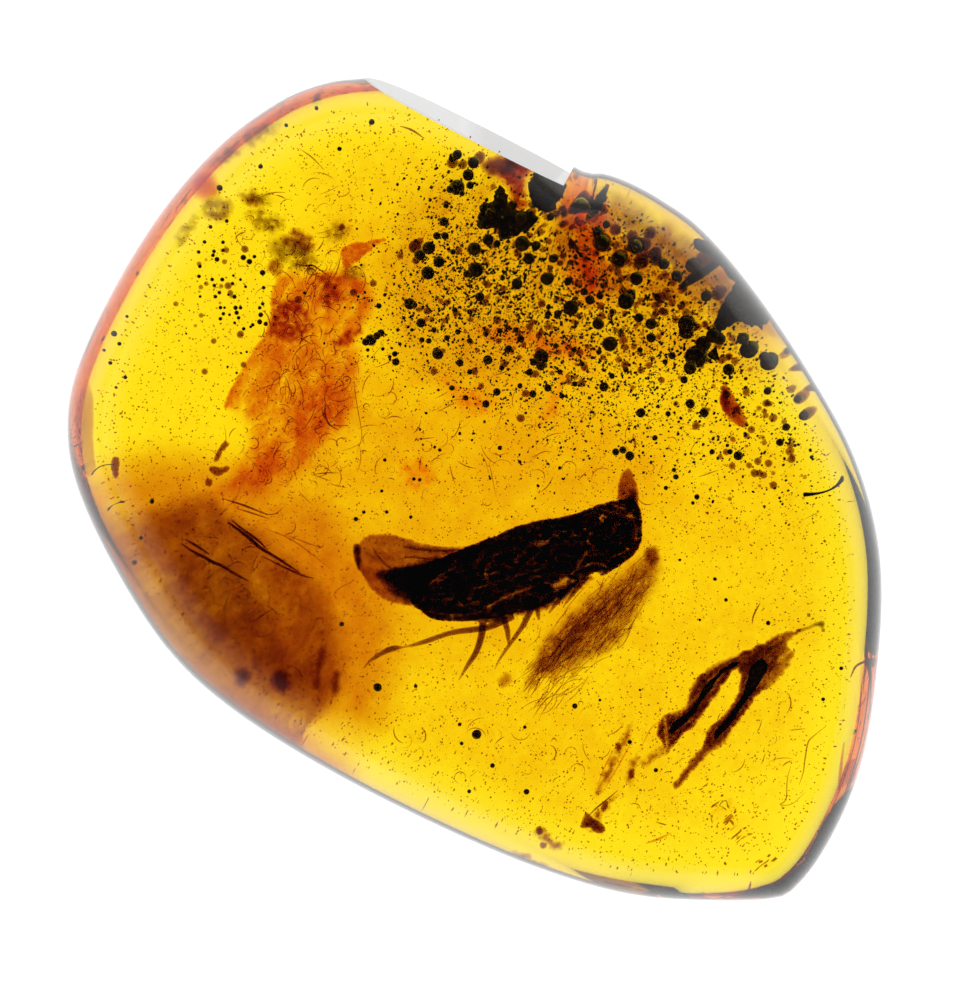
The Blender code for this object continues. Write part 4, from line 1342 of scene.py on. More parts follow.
brown_cloud_and_rim_shade = add_piece(
    "brown_sap_cloud_and_rim_shade",
    brown_stain_and_shade_stuff,
    [
        lens(BROWN_CLOUD, -1.4, 0.26, 0.5, spacing=0.09, soft=True, relief=cloudy(0.5, 0.4, 4.0)),
        lens(BROWN_DEEPER, -0.8, 0.13, 0.7, spacing=0.09, soft=True, relief=cloudy(0.3, 0.8, 5.0)),
        *[
            lens(mottle, -0.4 + 0.2 * layer, 0.07, 0.25, soft=True, ragged=0.10)
            for layer, mottle in enumerate(BROWN_MOTTLES)
        ],
        # Painted shade along the left rim.
        lens(LEFT_RIM_SHADE, -0.2, 0.20, 0.15, soft=True),
    ],
)
red_stains = add_piece(
    "red_sap_stains",
    red_stuff,
    [
        *[
            lens(
                patch,
                0.3 + 0.35 * layer,
                0.09,
                0.15,
                spacing=0.04,
                soft=True,
                ragged=0.10,
                relief=cloudy(0.12, 1.0, 6.0),
            )
            for layer, patch in enumerate(RED_PATCHES)
        ],
        lens(CLOT_GLOW, -0.2, 0.14, 0.2, spacing=0.05, soft=True, relief=cloudy(0.12, 0.9, 7.0)),
    ],
)
dark_stains = add_piece(
    "dark_sap_stains",
    dark_stuff,
    [
        *[
            lens(patch, -0.4, 0.09, 0.18, spacing=0.05, soft=True, ragged=0.06)
            for patch in DARK_PATCHES
        ],
        *[
            lens(patch, 0.4, 0.05, 0.14, spacing=0.04, soft=True, ragged=0.08, relief=smeared)
            for patch in (*DARK_SMUDGES, *SMEARS)
        ],
        lens(CLOT_CAP, 0.4, 0.09, 0.16, spacing=0.05, soft=True, ragged=0.05),
        lens(CLOT_BAND, 0.1, 0.07, 0.12, spacing=0.05, soft=True, ragged=0.05),
    ],
)
hazes = add_piece(
    "orange_hazes",
    haze_stuff,
    [
        lens(ORANGE_HAZE, -0.8, 0.24, 0.5, soft=True, relief=cloudy(0.2, 1.0, 8.0)),
        lens(ORANGE_HAZE_BELOW, -0.8, 0.16, 0.4, soft=True, relief=cloudy(0.2, 1.0, 9.0)),
        *[
            lens(smear, 0.3, 0.10, 0.30, spacing=0.05, soft=True, ragged=0.12, relief=orange_smeared)
            for smear in ORANGE_SMEARS
        ],
    ],
)
olive_hazes = add_piece(
    "olive_hazes",
    olive_stuff,
    [
        lens(OLIVE_HAZE, -0.5, 0.10, 0.5, soft=True, relief=cloudy(0.25, 1.2, 10.0)),
        lens(OLIVE_CLOUD, 0.2, 0.14, 0.25, soft=True, relief=cloudy(0.15, 0.9, 11.0), ragged=0.08),
        *[
            lens(smudge, 0.7, 0.13, 0.20, spacing=0.05, soft=True, ragged=0.10, relief=smudged)
            for smudge in SMUDGES
        ],
    ],
)
stains = (orange_film, brown_cloud_and_rim_shade, brown_skirt, red_stains, dark_stains, hazes, olive_hazes)
for piece in (*warm_flows, smoke, *stains):
    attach(piece, "root")

# Froth: gas bubbles that the fresh resin boiled up. Against the light each is a black bead with
# a clear rim. That black, and the brown of the deeper bubbles, is painted shade on beads that are
# not clear pockets of gas. The large ones are placed one by one, (x, y, radius) as seen from above.
LARGE_BUBBLES = (
    (-0.35, 6.68, 0.10), (-0.03, 6.52, 0.12), (-0.13, 6.28, 0.12), (-0.35, 6.04, 0.16),
    (-0.57, 5.72, 0.06), (-0.61, 5.36, 0.10), (-0.75, 5.08, 0.08), (-0.59, 5.08, 0.08),
    (-0.91, 4.84, 0.14), (-1.09, 4.70, 0.12), (-0.71, 4.56, 0.12), (-0.93, 4.34, 0.14),
    (-0.01, 4.82, 0.14), (0.03, 4.40, 0.16), (-0.15, 4.32, 0.08), (-0.43, 4.76, 0.06),
    (0.11, 3.86, 0.10), (0.85, 4.12, 0.12), (0.95, 4.92, 0.16), (1.23, 4.88, 0.10),
    (1.09, 4.62, 0.12), (1.59, 4.62, 0.10), (1.47, 4.22, 0.14), (1.87, 4.16, 0.08),
    (1.93, 3.64, 0.16), (1.67, 3.52, 0.08), (1.49, 3.66, 0.06), (1.49, 3.54, 0.06),
    (2.47, 3.32, 0.12), (2.71, 2.92, 0.16), (2.55, 4.92, 0.16), (2.89, 4.60, 0.16),
    (3.03, 3.78, 0.18), (3.11, 3.90, 0.12), (3.23, 4.22, 0.14), (3.21, 4.84, 0.14),
    (2.07, 5.64, 0.14), (1.33, 2.66, 0.16), (-1.91, 3.68, 0.06), (-1.79, 3.90, 0.040),
    (-2.07, 3.00, 0.12), (-2.17, 2.96, 0.08), (-1.95, 3.08, 0.08), (-1.87, 3.14, 0.08),
    (-2.13, 2.80, 0.040), (-1.83, 2.82, 0.040), (-1.69, 2.66, 0.040), (-1.59, 2.72, 0.06),
    (-1.57, 2.56, 0.08), (-1.29, 3.72, 0.12), (-1.35, 3.76, 0.06), (-1.19, 3.70, 0.06),
    (-1.07, 3.34, 0.10), (-0.73, 2.72, 0.12), (3.77, 4.50, 0.12), (4.03, 4.26, 0.12),
    (4.35, 4.46, 0.16), (4.23, 3.32, 0.18), (4.23, 3.16, 0.16), (4.43, 2.66, 0.24),
    (4.57, 2.92, 0.16), (4.31, 2.44, 0.14), (4.77, 3.08, 0.16), (4.89, 3.00, 0.12),
    (5.45, 2.78, 0.18), (5.33, 3.00, 0.12), (5.85, 2.54, 0.18), (5.75, 2.64, 0.10),
    (5.07, 2.40, 0.12), (4.61, 3.86, 0.12), (4.31, 1.72, 0.10), (4.59, 1.54, 0.10),
    (3.33, 1.54, 0.10), (2.59, 2.06, 0.10), (4.19, 2.20, 0.08), (3.53, 3.32, 0.12),
    (3.29, 3.44, 0.10), (6.41, 1.78, 0.08), (6.55, 1.46, 0.10), (5.83, 1.96, 0.08),
    (2.47, 5.12, 0.12), (2.63, 5.28, 0.08), (1.47, 3.48, 0.06), (0.27, 5.00, 0.12),
    (0.45, 4.92, 0.08), (0.91, 5.42, 0.12), (0.31, 5.52, 0.10), (0.75, 5.68, 0.10),
    (1.51, 5.44, 0.08), (-0.45, 6.60, 0.08), (-0.49, 6.00, 0.08), (-0.25, 5.92, 0.06),
    (-0.09, 6.08, 0.08), (-0.57, 5.68, 0.06), (1.33, 2.48, 0.10), (1.19, 2.56, 0.08),
    (3.61, 1.04, 0.06), (3.87, 1.52, 0.06), (2.83, 0.76, 0.08), (3.11, 0.68, 0.10),
    (2.97, 0.80, 0.08), (5.27, 0.68, 0.10), (5.11, 0.76, 0.06), (4.75, 0.76, 0.06),
    (6.21, 1.24, 0.08), (6.09, 0.94, 0.08), (6.17, 2.72, 0.06), (3.95, 2.68, 0.08),
    (3.81, 2.56, 0.06), (3.53, 3.04, 0.10), (3.31, 2.80, 0.06), (3.03, 2.40, 0.06),
    (2.75, 2.28, 0.06), (2.49, 2.76, 0.06), (2.31, 3.80, 0.10), (2.19, 3.96, 0.08),
    (2.51, 3.88, 0.08), (2.75, 3.56, 0.06), (1.91, 4.56, 0.06), (-0.33, 3.16, 0.06),
    (-0.55, 3.04, 0.06), (-0.09, 2.98, 0.06), (0.23, 3.12, 0.06), (-0.29, 2.54, 0.08),
    (-0.09, 2.36, 0.06), (0.27, 2.60, 0.10), (0.55, 2.44, 0.06), (0.69, 2.82, 0.08),
    (0.93, 3.02, 0.08), (0.83, 3.20, 0.06), (0.51, 3.18, 0.06), (-0.09, 3.56, 0.06),
    (-0.39, 3.60, 0.06), (-0.81, 3.20, 0.06), (-0.91, 2.98, 0.06), (-1.05, 3.00, 0.06),
    (-1.25, 3.20, 0.040), (-1.41, 3.44, 0.040), (-1.53, 3.20, 0.040), (-1.49, 2.92, 0.040),
    (0.45, 1.96, 0.08), (0.23, 1.72, 0.08), (-0.17, 1.84, 0.06), (-0.45, 2.04, 0.06),
    (0.91, 2.08, 0.06), (1.17, 1.92, 0.08), (1.47, 2.04, 0.08), (1.75, 1.88, 0.06),
    (2.01, 2.12, 0.06), (1.71, 2.36, 0.06), (2.15, 2.52, 0.06), (1.99, 2.80, 0.06),
    (1.63, 2.88, 0.06), (1.11, 2.36, 0.08),
)
SMALL_BUBBLES = (
    (-5.49, 4.74, 0.040), (-5.37, 4.94, 0.040), (-5.19, 4.76, 0.040), (-5.01, 4.94, 0.040),
    (-5.01, 4.78, 0.040), (-5.13, 4.60, 0.052), (-5.21, 4.68, 0.040), (-5.47, 4.46, 0.040),
    (-5.49, 4.26, 0.040), (-5.23, 4.20, 0.040), (-5.03, 4.20, 0.044), (-5.19, 4.08, 0.040),
    (-4.83, 4.12, 0.040), (-4.81, 4.28, 0.030), (-4.57, 4.06, 0.032), (-4.67, 4.20, 0.032),
    (-5.09, 3.94, 0.040), (-5.17, 3.86, 0.040), (-4.91, 3.90, 0.030), (-4.79, 3.86, 0.048),
    (-5.47, 3.86, 0.030), (-5.07, 3.64, 0.040), (-4.99, 3.64, 0.030), (-4.77, 3.64, 0.048),
    (-4.67, 3.64, 0.040), (-4.75, 3.54, 0.048), (-5.01, 3.52, 0.040), (-4.89, 3.50, 0.032),
    (-5.07, 3.42, 0.040), (-4.71, 3.44, 0.040), (-4.79, 3.34, 0.032), (-4.61, 3.22, 0.040),
    (-4.43, 3.30, 0.040), (-4.47, 3.26, 0.032), (-4.29, 3.36, 0.056), (-4.17, 3.32, 0.048),
    (-4.27, 3.50, 0.052), (-4.29, 3.64, 0.040), (-4.23, 3.72, 0.040), (-4.21, 4.04, 0.040),
    (-4.23, 4.34, 0.06), (-4.55, 2.76, 0.028), (-4.75, 2.34, 0.028), (-4.93, 2.46, 0.028),
    (-5.75, 3.12, 0.024), (-7.15, 3.10, 0.06), (-7.05, 2.90, 0.040), (-6.89, 3.44, 0.032),
    (-7.33, 2.76, 0.032), (-7.23, 2.52, 0.040), (-6.95, 2.24, 0.040), (-7.13, 2.04, 0.030),
    (-4.61, 4.64, 0.06), (-4.49, 4.56, 0.06), (-4.39, 4.66, 0.040), (-5.25, 5.24, 0.040),
    (-4.93, 5.36, 0.040),
)
HAZY_BUBBLES = (
    (-1.19, 4.86, 0.14), (2.55, 4.92, 0.20), (2.89, 4.60, 0.20), (3.21, 4.84, 0.18),
    (2.07, 5.64, 0.18), (3.37, 4.88, 0.14), (3.31, 4.56, 0.16), (3.57, 4.68, 0.14),
    (4.51, 4.56, 0.16), (4.91, 4.68, 0.16), (6.41, 1.78, 0.12), (6.55, 1.46, 0.12),
    (6.03, 2.60, 0.10), (-0.45, 6.52, 0.12), (-0.25, 6.48, 0.10), (0.07, 6.60, 0.12),
    (6.51, 2.36, 0.08), (6.75, 1.96, 0.08), (6.25, 1.96, 0.08), (5.81, 1.72, 0.08),
    (5.77, 1.56, 0.06), (4.81, 3.88, 0.14), (3.63, 4.56, 0.12), (3.47, 5.08, 0.12),
    (3.13, 5.04, 0.12), (2.79, 5.16, 0.12), (2.43, 5.48, 0.10), (3.71, 3.84, 0.12),
)
MIDDLING_SWARMS = (  # (x, y, spread x, spread y, how many) as seen from above
    (0.11, 3.80, 0.9, 0.8, 90), (2.51, 4.80, 0.8, 0.6, 90), (3.31, 3.60, 0.8, 0.6, 80),
    (4.51, 3.80, 0.5, 0.5, 50), (1.71, 2.80, 0.9, 0.5, 50), (5.31, 3.20, 0.5, 0.4, 26),
    (6.11, 1.20, 0.5, 0.7, 80), (4.91, 1.80, 0.7, 0.6, 24), (3.31, 5.50, 0.6, 0.4, 90),
    (4.31, 4.80, 0.6, 0.4, 110), (5.21, 3.80, 0.4, 0.5, 80), (1.71, 5.50, 0.5, 0.3, 50),
    (-5.39, 4.40, 0.7, 0.8, 50),
)
MIDDLING_RADII = (0.025, 0.090)
SEEN_REACH = 0.93  # how far out froth and dust are strewn, as a share of the outline
BEAD_REACH = 0.86  # the same for the middling bubbles and the wrinkles
LUMPINESS = 0.10
LUMP_SCALE = 0.9


def beads(bubbles, lowest, highest, seed):
    """Round bubbles at seen places (x, y, radius), each at a random depth and a little uneven."""
    rng = np.random.default_rng(seed)
    directions, faces = unit_ball(BEAD_FACETS)
    shapes = []
    rows = np.array(bubbles, float)
    depths = rng.uniform(lowest, highest, len(rows))
    centres = kept_inside(under_crown(rows, depths))
    step = 0.05
    sides = [
        (under_crown(rows + shift, depths) - under_crown(rows - shift, depths)) / (2 * step)
        for shift in (np.array((step, 0, 0)), np.array((0, step, 0)))
    ]
    for centre, radius, right, ahead in zip(centres, rows[:, 2], *sides):
        tall = np.sqrt(abs(right[0] * ahead[1] - right[1] * ahead[0]))
        lumps = [noise.noise(Vector(spoke) * LUMP_SCALE + Vector(centre)) for spoke in directions]
        uneven = 1 + LUMPINESS * np.array(lumps)
        spokes = directions @ np.array((right, ahead, (0, 0, tall)))
        shapes.append((centre + radius * spokes * uneven[:, None], faces))
    return shapes


def painted_bubble_shade():
    """Painted shade for a gas bubble's wall, which turns the back light away: near black on an opaque
    bead.
    """
    material, tree, output = new_material("painted_bubble_shade_and_bark_black")
    place = add_node(tree, "ShaderNodeTexCoord")
    tone = add_node(
        tree, "ShaderNodeTexNoise", {"Vector": place.outputs["Object"]}, Scale=900.0, Detail=2.0
    )
    shade = two_toned(tree, tone.outputs["Fac"], "#070403", "#2E1408")
    surface = add_node(tree, "ShaderNodeBsdfPrincipled", {"Base Color": shade}, Roughness=0.16)
    tree.links.new(surface.outputs["BSDF"], output.inputs["Surface"])
    return material


bubble_shade_and_bark_black = painted_bubble_shade()
# Painted shade: the middling and hazy bubbles are brown see-through beads, darkened for the light that
# their walls turn away.
bubble_shade_brown = see_through("brown_bubble_painted_shade", "#4A2208", 0.22)
froth = add_piece("large_bubbles", bubble_shade_and_bark_black, beads(LARGE_BUBBLES, -0.3, 0.9, seed=21))
pearls = add_piece("small_bubbles", bubble_shade_and_bark_black, beads(SMALL_BUBBLES, -0.2, 0.8, seed=22))
rng = np.random.default_rng(24)
middling_rows = []
for x, y, spread_x, spread_y, count in MIDDLING_SWARMS:
    seen = rng.normal((x, y), (spread_x, spread_y), (count, 2))
    seen = seen[within(seen, BEAD_REACH)]
    middling_rows += [(*place, rng.uniform(*MIDDLING_RADII)) for place in seen]
middling = add_piece("middling_bubbles", bubble_shade_brown, beads(middling_rows, -1.6, -0.5, seed=25))
hazy = add_piece("hazy_bubble_shades", bubble_shade_brown, beads(HAZY_BUBBLES, -1.0, -0.4, seed=23))

# Fine froth and dust: thousands of tiny bubbles and specks, thick round the charred bark and
# thinning out to the lower right, and flecks, grain and dust through the whole pebble.
SWARMS = (  # (x, y, spread x, spread y, how many) as seen from above
    (0.31, 4.70, 1.00, 0.80, 1700), (-0.09, 3.40, 1.20, 0.70, 1500), (1.71, 3.80, 1.20, 0.90, 1700),
    (3.31, 3.20, 1.20, 1.10, 1700), (4.51, 2.40, 1.20, 1.10, 1100), (1.71, 2.00, 1.40, 0.80, 900),
    (5.71, 1.20, 0.90, 1.00, 260), (3.31, 0.80, 1.60, 0.80, 200), (-0.39, 5.60, 0.50, 0.80, 260),
)
DOT_RADII = (0.012, 0.040)
DOT_FACETS = 6
DUST_COUNT = 12000
DUST_RADII = (0.006, 0.017)
GRAIN_COUNT = 15000
GRAIN_RADII = (0.012, 0.028)
GRAIN_FACETS = 4
GRAIN_DEPTHS = (-1.2, 2.0)
STREWN_REACH = 8.2  # half the side of the square that grain and dust are strewn over
SPECK_TURN = 6.28  # a full turn, in radians
SPECK_FLATNESS = 0.6  # the least height of a speck, as a share of its width


def speck_field(name, places, depths, sizes, material, facets):
    """Tiny beads at seen places, by Geometry Nodes: a few-sided one on each, turned at random."""
    centres = kept_inside(under_crown(places, depths))
    mesh = bpy.data.meshes.new(name)
    mesh.from_pydata(centres * MM, [], [])
    size = mesh.attributes.new("size", "FLOAT", "POINT")
    size.data.foreach_set("value", sizes * MM)
    piece = bpy.data.objects.new(name, mesh)
    bpy.context.scene.collection.objects.link(piece)
    tree = bpy.data.node_groups.new(name + "_nodes", "GeometryNodeTree")
    tree.interface.new_socket("Geometry", in_out="INPUT", socket_type="NodeSocketGeometry")
    facet_input = tree.interface.new_socket("Facets", in_out="INPUT", socket_type="NodeSocketInt")
    flat_input = tree.interface.new_socket("Least height", in_out="INPUT", socket_type="NodeSocketFloat")
    tree.interface.new_socket("Geometry", in_out="OUTPUT", socket_type="NodeSocketGeometry")
    given = add_node(tree, "NodeGroupInput")
    bead = add_node(
        tree, "GeometryNodeMeshUVSphere", {"Segments": given.outputs["Facets"]}, Rings=2, Radius=1.0
    )
    stored = add_node(tree, "GeometryNodeInputNamedAttribute", data_type="FLOAT", Name="size")
    turn = add_node(tree, "FunctionNodeRandomValue", data_type="FLOAT_VECTOR", Seed=3)
    turn.inputs["Max"].default_value = (SPECK_TURN, SPECK_TURN, SPECK_TURN)
    squash = add_node(tree, "FunctionNodeRandomValue", data_type="FLOAT", Seed=4)
    tree.links.new(given.outputs["Least height"], squash.inputs[2])
    squash.inputs[3].default_value = 1.0
    height = add_node(tree, "ShaderNodeMath", operation="MULTIPLY")
    tree.links.new(stored.outputs["Attribute"], height.inputs[0])
    tree.links.new(squash.outputs[1], height.inputs[1])
    scale = add_node(
        tree,
        "ShaderNodeCombineXYZ",
        {"X": stored.outputs["Attribute"], "Y": stored.outputs["Attribute"], "Z": height.outputs[0]},
    )
    spread = add_node(
        tree,
        "GeometryNodeInstanceOnPoints",
        {
            "Points": given.outputs["Geometry"],
            "Instance": bead.outputs["Mesh"],
            "Rotation": turn.outputs[0],
            "Scale": scale.outputs["Vector"],
        },
    )
    real = add_node(tree, "GeometryNodeRealizeInstances", {"Geometry": spread.outputs["Instances"]})
    dressed = add_node(tree, "GeometryNodeSetMaterial", {"Geometry": real.outputs["Geometry"]})
    dressed.inputs["Material"].default_value = material
    add_node(tree, "NodeGroupOutput", {"Geometry": dressed.outputs["Geometry"]})
    modifier = piece.modifiers.new("Specks", "NODES")
    modifier.node_group = tree
    modifier[facet_input.identifier] = facets
    modifier[flat_input.identifier] = SPECK_FLATNESS
    apply_modifiers(piece)
    return piece


MOTTLE_SHARE = 0.90  # how far out the flecks reach, as a share of the outline
MOTTLE_HALF = 0.019
FEWER_FROM = -2.5  # left of this X the flecks thin out
FEWEST_FROM = -6.5
mottle_stuff = see_through("flecked_resin", "#F0CE94", 0.10)


def flecked(spots):
    """Flecks in the resin: fine crumbs that gather in wisps, fewer towards the left."""
    wisps = 0.50 + 0.9 * wander(spots, 1.1, seed=30.0) + 0.5 * wander(spots, 0.35, seed=31.0)
    crumbs = 0.55 * wander(spots, 0.11, seed=32.0)
    right = np.clip((spots[:, 0] - FEWEST_FROM) / (FEWER_FROM - FEWEST_FROM), 0, 1)
    return (0.35 + 0.65 * right) * (np.clip(wisps, 0.10, 1.6) * 0.6 + 0.25 + crumbs)


fleck_outline = PEBBLE_CENTRE + MOTTLE_SHARE * (RIM[::4] - PEBBLE_CENTRE)
flecks = add_piece(
    "resin_flecks",
    mottle_stuff,
    [lens(fleck_outline, 0.75, MOTTLE_HALF, 0.8, spacing=0.085, soft=True, relief=flecked)],
)
rng = np.random.default_rng(31)
clouds = [
    rng.normal((x, y), (spread_x, spread_y), (count, 2)) for x, y, spread_x, spread_y, count in SWARMS
]
places = np.vstack(clouds)
places = places[within(places, SEEN_REACH)]
sizes = DOT_RADII[0] + (DOT_RADII[1] - DOT_RADII[0]) * rng.random(len(places)) ** 3
depths = rng.uniform(-0.4, 0.9, len(places))
# The tiny bubbles wear the painted bubble shade too.
fine_froth = speck_field("fine_froth", places, depths, sizes, bubble_shade_and_bark_black, DOT_FACETS)
dust_stuff = see_through("resin_dust", "#A07440", 0.010)
grain_stuff = see_through("resin_grain", "#B88A48", 0.020)


def strewn(name, count, radii, material):
    """Specks strewn evenly through the pebble."""
    places = rng.uniform(-STREWN_REACH, STREWN_REACH, (count, 2))
    places = places[within(places, SEEN_REACH)]
    depths = rng.uniform(*GRAIN_DEPTHS, len(places))
    sizes = rng.uniform(*radii, len(places))
    return speck_field(name, places, depths, sizes, material, GRAIN_FACETS)


dust = strewn("fine_dust", DUST_COUNT, DUST_RADII, dust_stuff)
grain = strewn("resin_grain", GRAIN_COUNT, GRAIN_RADII, grain_stuff)
for piece in (froth, pearls, hazy, middling, fine_froth, dust, grain):
    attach(piece, "root")
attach(flecks, "root")

# Debris: hairs, twigs, bark crumbs and hairline cracks that the resin closed over.
DARK_LINES = (  # (thickness, points) as seen from above
    (
        0.034, (-5.85, -1.06), (-5.65, -1.20), (-5.43, -1.32), (-5.21, -1.44), (-5.03, -1.52),
        (-4.77, -1.68), (-4.51, -1.82),
    ),
    (0.030, (-5.77, -0.98), (-5.53, -1.12), (-5.29, -1.28)),
    (
        0.040, (-4.93, -0.64), (-4.73, -0.78), (-4.57, -0.90), (-4.41, -1.04), (-4.27, -1.16),
        (-3.91, -1.38), (-3.49, -1.66),
    ),
    (0.030, (-4.85, -0.60), (-4.61, -0.80), (-4.33, -1.00), (-4.13, -1.20)),
    (0.024, (-4.25, -1.32), (-3.85, -1.52), (-3.41, -1.72), (-3.21, -1.76)),
    (0.024, (-4.99, -0.18), (-4.57, -0.32), (-4.13, -0.50)),
    (0.018, (-4.77, -0.36), (-4.45, -0.46), (-4.09, -0.58)),
    (0.012, (-4.21, -0.76), (-3.61, -1.02), (-2.87, -1.58)),
    (0.012, (-3.81, -0.88), (-3.29, -1.08), (-3.01, -1.16)),
    (0.024, (-2.97, 1.70), (-2.99, 1.56), (-2.91, 1.32), (-2.71, 1.20)),
    (0.020, (-3.05, 1.64), (-3.01, 1.48), (-2.93, 1.40)),
    (0.012, (-2.41, 2.36), (-2.39, 2.00), (-2.33, 1.60), (-2.25, 1.08), (-2.37, 0.70)),
    (0.016, (-3.25, 0.30), (-2.99, 0.34), (-2.71, 0.34)),
    (0.012, (-3.21, 0.30), (-3.05, 0.24), (-2.87, 0.18)),
    (0.022, (-3.59, 4.52), (-3.39, 4.48), (-3.21, 4.48), (-2.95, 4.30)),
    (0.020, (5.71, -2.26), (5.63, -2.40), (5.57, -2.54), (5.55, -2.68)),
    (0.026, (7.47, -3.74), (7.57, -3.52), (7.75, -3.42), (7.95, -3.36)),
    (
        0.014, (6.99, -4.72), (6.75, -4.92), (6.65, -5.04), (6.59, -5.36), (6.55, -5.64),
        (6.47, -5.88),
    ),
    (
        0.012, (6.31, -5.50), (6.25, -5.72), (6.23, -5.88), (6.21, -6.18), (6.09, -6.28),
        (6.33, -6.26), (6.59, -6.02),
    ),
    (0.014, (-0.49, 0.52), (-0.45, 0.32), (-0.37, 0.08)),
    (0.012, (0.29, 0.56), (0.35, 0.28), (0.43, -0.12)),
    (0.010, (0.11, 0.76), (0.23, 0.56), (0.31, 0.24)),
    (0.012, (3.79, -4.56), (3.83, -4.84), (3.87, -5.12)),
    (0.020, (2.27, -6.52), (2.43, -6.36), (2.63, -6.20), (2.87, -6.00)),
    (0.016, (3.63, -6.62), (3.75, -6.66), (3.85, -6.68)),
    (0.016, (4.69, -6.08), (4.79, -6.02)),
    (0.016, (5.35, -6.96), (5.47, -6.88)),
    (0.014, (1.53, -5.04), (1.59, -4.96), (1.67, -5.04)),
    (0.020, (-1.49, 7.24), (-1.25, 7.16), (-1.01, 7.00)),
    (0.014, (-3.49, 6.80), (-3.25, 6.64), (-3.01, 6.40)),
    (0.012, (-5.25, 6.80), (-4.77, 6.96), (-4.25, 7.08)),
    (0.016, (-4.25, 3.60), (-4.13, 3.48), (-4.05, 3.20)),
)
PALE_STREAKS = (
    (0.030, (7.33, -5.02), (7.27, -5.44), (7.23, -5.80), (7.21, -6.04)),
    (0.026, (3.43, -7.04), (3.67, -6.96), (3.93, -6.84)),
    (0.020, (3.19, -4.96), (3.03, -5.24), (2.83, -5.60), (2.59, -6.00)),
    (0.020, (2.87, -5.04), (2.63, -5.48), (2.47, -5.88)),
    (0.018, (3.79, -4.56), (3.51, -4.80), (3.31, -5.24)),
)
CRUMBS = (
    (
        (-4.99, 1.00), (-4.91, 0.92), (-5.05, 0.72), (-5.11, 0.60), (-5.23, 0.54), (-5.21, 0.68),
        (-5.11, 0.82),
    ),
    (
        (-5.33, 0.44), (-5.21, 0.50), (-5.09, 0.44), (-4.93, 0.52), (-4.91, 0.40), (-5.09, 0.28),
        (-5.25, 0.32),
    ),
    ((-5.37, 0.24), (-5.23, 0.22), (-5.25, 0.08), (-5.37, 0.10)),
    ((-7.21, 0.66), (-7.11, 0.68), (-7.07, 0.50), (-7.11, 0.26), (-7.19, 0.28), (-7.23, 0.48)),
    (
        (2.27, -6.44), (2.43, -6.56), (2.59, -6.64), (2.63, -6.80), (2.47, -6.86), (2.31, -6.76),
        (2.11, -6.72), (2.17, -6.56),
    ),
    ((2.51, -6.32), (2.63, -6.20), (2.69, -6.32), (2.57, -6.44)),
    ((3.07, -5.60), (3.19, -5.56), (3.21, -5.72), (3.11, -5.78)),
    ((1.23, -6.72), (1.33, -6.68), (1.37, -6.80), (1.27, -6.84)),
    ((1.35, -7.00), (1.47, -7.00), (1.47, -7.10), (1.35, -7.10)),
    ((2.83, -5.04), (2.95, -5.06), (2.95, -5.22), (2.85, -5.20)),
    ((-2.71, 5.30), (-2.61, 5.34), (-2.57, 5.22), (-2.67, 5.18)),
    ((7.71, -3.40), (7.87, -3.34), (7.97, -3.44), (7.87, -3.56), (7.73, -3.52)),
    ((3.15, 1.08), (3.23, 1.06), (3.27, 0.88), (3.19, 0.88)),
)
SPECKS = (
    (-1.93, -3.94, 0.09), (-1.17, -3.92, 0.040), (-0.29, -4.68, 0.040), (0.05, -4.88, 0.10),
    (-0.25, -5.06, 0.040), (1.01, -4.74, 0.040), (0.37, -5.50, 0.050), (2.01, -4.32, 0.06),
    (1.05, -6.02, 0.06), (-6.43, -0.22, 0.050), (-6.63, -0.94, 0.040), (-6.75, -1.42, 0.050),
    (-2.65, -2.68, 0.052), (-0.69, 0.80, 0.040), (-1.79, 0.60, 0.040), (0.51, 0.84, 0.050),
    (0.91, 0.56, 0.040), (1.71, 0.44, 0.040), (-1.09, 0.20, 0.040), (-2.37, -0.58, 0.050),
    (-1.21, 0.22, 0.040), (-1.27, -0.54, 0.040), (-1.75, -0.44, 0.040), (-2.21, -0.44, 0.040),
    (-1.85, -0.02, 0.036), (4.45, -0.14, 0.06), (4.37, -0.26, 0.040), (4.03, 0.26, 0.06),
    (3.83, 0.04, 0.050), (3.99, 0.40, 0.050), (5.87, -2.66, 0.050), (4.81, -1.78, 0.040),
    (5.03, -2.20, 0.040), (6.95, -4.18, 0.040), (7.29, -3.56, 0.040), (3.11, -5.04, 0.048),
    (3.63, -5.60, 0.048), (4.11, -1.40, 0.032), (4.51, -2.60, 0.028), (2.51, -4.20, 0.032),
    (3.31, -4.00, 0.028), (0.91, -3.00, 0.028), (1.71, -3.00, 0.028), (-0.09, -6.00, 0.040),
    (-2.05, 7.32, 0.06), (-2.69, 6.80, 0.048), (-3.73, 7.24, 0.040), (-3.13, 7.56, 0.040),
    (-4.25, 6.44, 0.048), (-5.05, 6.00, 0.06),
)
DARK_LINES_DEPTH = 0.3
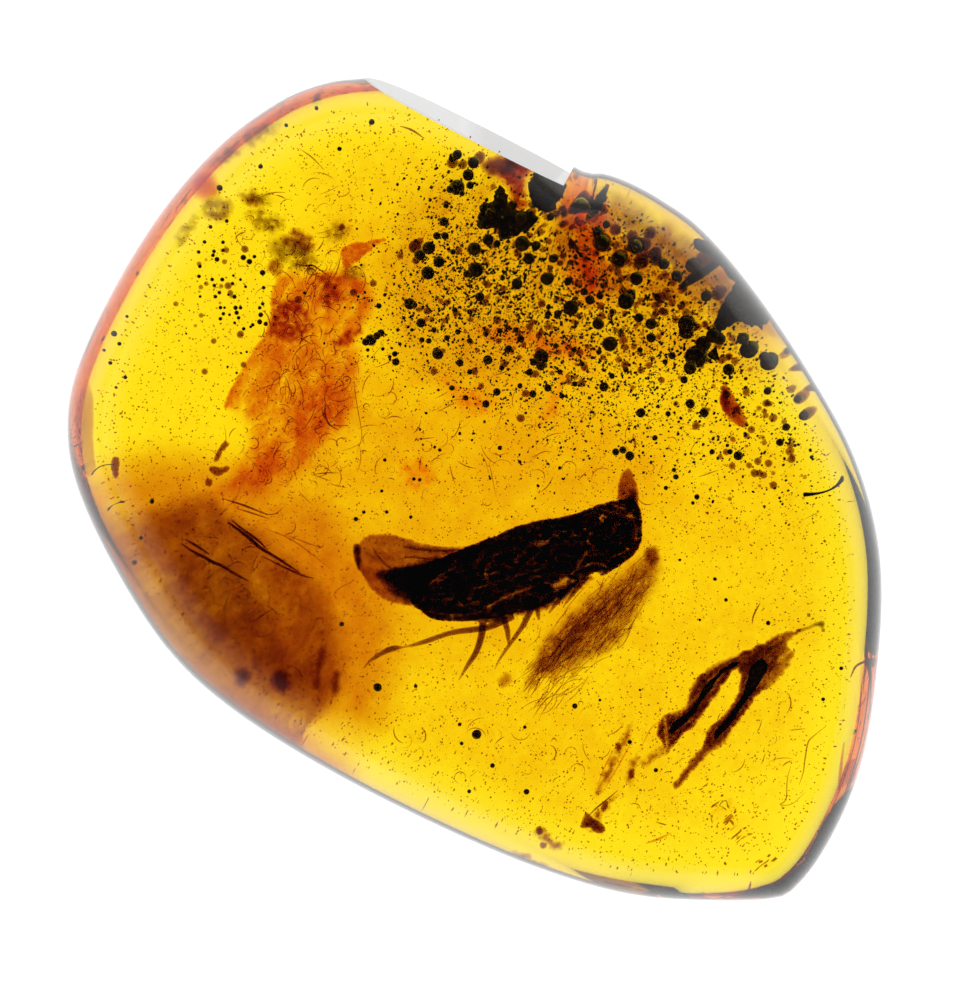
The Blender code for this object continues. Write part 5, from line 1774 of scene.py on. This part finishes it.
WRINKLE_FIELDS = (  # (x, y, spread x, spread y, run, how many) as seen from above
    (-3.29, 3.80, 0.45, 0.40, 1.2, 70), (-3.59, 2.20, 0.55, 0.70, 1.1, 90),
    (-2.89, 1.80, 0.35, 0.60, 1.2, 50), (-3.89, 0.60, 0.60, 0.40, 0.9, 40),
    (-1.49, 1.00, 1.60, 0.80, 0.4, 60), (1.71, 1.00, 2.20, 0.80, 0.9, 60),
    (-4.69, -2.20, 1.00, 0.90, 0.8, 60), (0.91, -5.40, 2.20, 0.60, 0.6, 40),
    (5.71, -5.40, 1.0, 0.9, 0.9, 16), (-3.89, 5.20, 1.0, 0.6, 0.5, 40),
)
WRINKLE_RADII = (0.006, 0.014)
WRINKLE_STEPS = (0.02, 0.11)
WRINKLE_DEPTHS = (0.2, 0.7)
wrinkle_stuff = see_through("wrinkle_shade", "#8A5020", 0.03)
hair_stuff = see_through("brown_hair", "#6A3A18", 0.05)
streak_stuff = see_through("pale_fissure", "#D88A1C", 0.06)
hairs = add_piece(
    "hairs_and_cracks",
    hair_stuff,
    [line(points, DARK_LINES_DEPTH, thick) for thick, *points in DARK_LINES],
)
rng = np.random.default_rng(51)
wrinkles = []
for centre_x, centre_y, spread_x, spread_y, run, count in WRINKLE_FIELDS:
    for _ in range(count):
        middle = rng.normal((centre_x, centre_y), (spread_x, spread_y))
        turns = run + rng.normal(0, 0.7) + rng.normal(0, 1.3) * np.linspace(-1, 1, 6)
        steps = np.column_stack([np.cos(turns), np.sin(turns)]) * rng.uniform(*WRINKLE_STEPS)
        points = middle + np.cumsum(steps, axis=0)
        depth = rng.uniform(*WRINKLE_DEPTHS)
        radius = rng.uniform(*WRINKLE_RADII)
        if within(points, BEAD_REACH).all():
            wrinkles.append(line(points, depth, radius))
wrinkled = add_piece("crumpled_film_wrinkles", wrinkle_stuff, wrinkles)
streaks = add_piece(
    "pale_fissures", streak_stuff, [line(points, 0.0, thick) for thick, *points in PALE_STREAKS]
)
crumbs = add_piece(
    "bark_crumbs",
    dark_stuff,
    [lens(crumb, 0.2, 0.07, 0.06, spacing=0.04, ragged=0.03) for crumb in CRUMBS],
)
specks = add_piece("bark_specks", bubble_shade_and_bark_black, beads(SPECKS, -0.2, 0.8, seed=41))
for piece in (hairs, wrinkled, streaks):
    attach(piece, "root")
for piece in (crumbs, specks):
    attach(piece, "root")
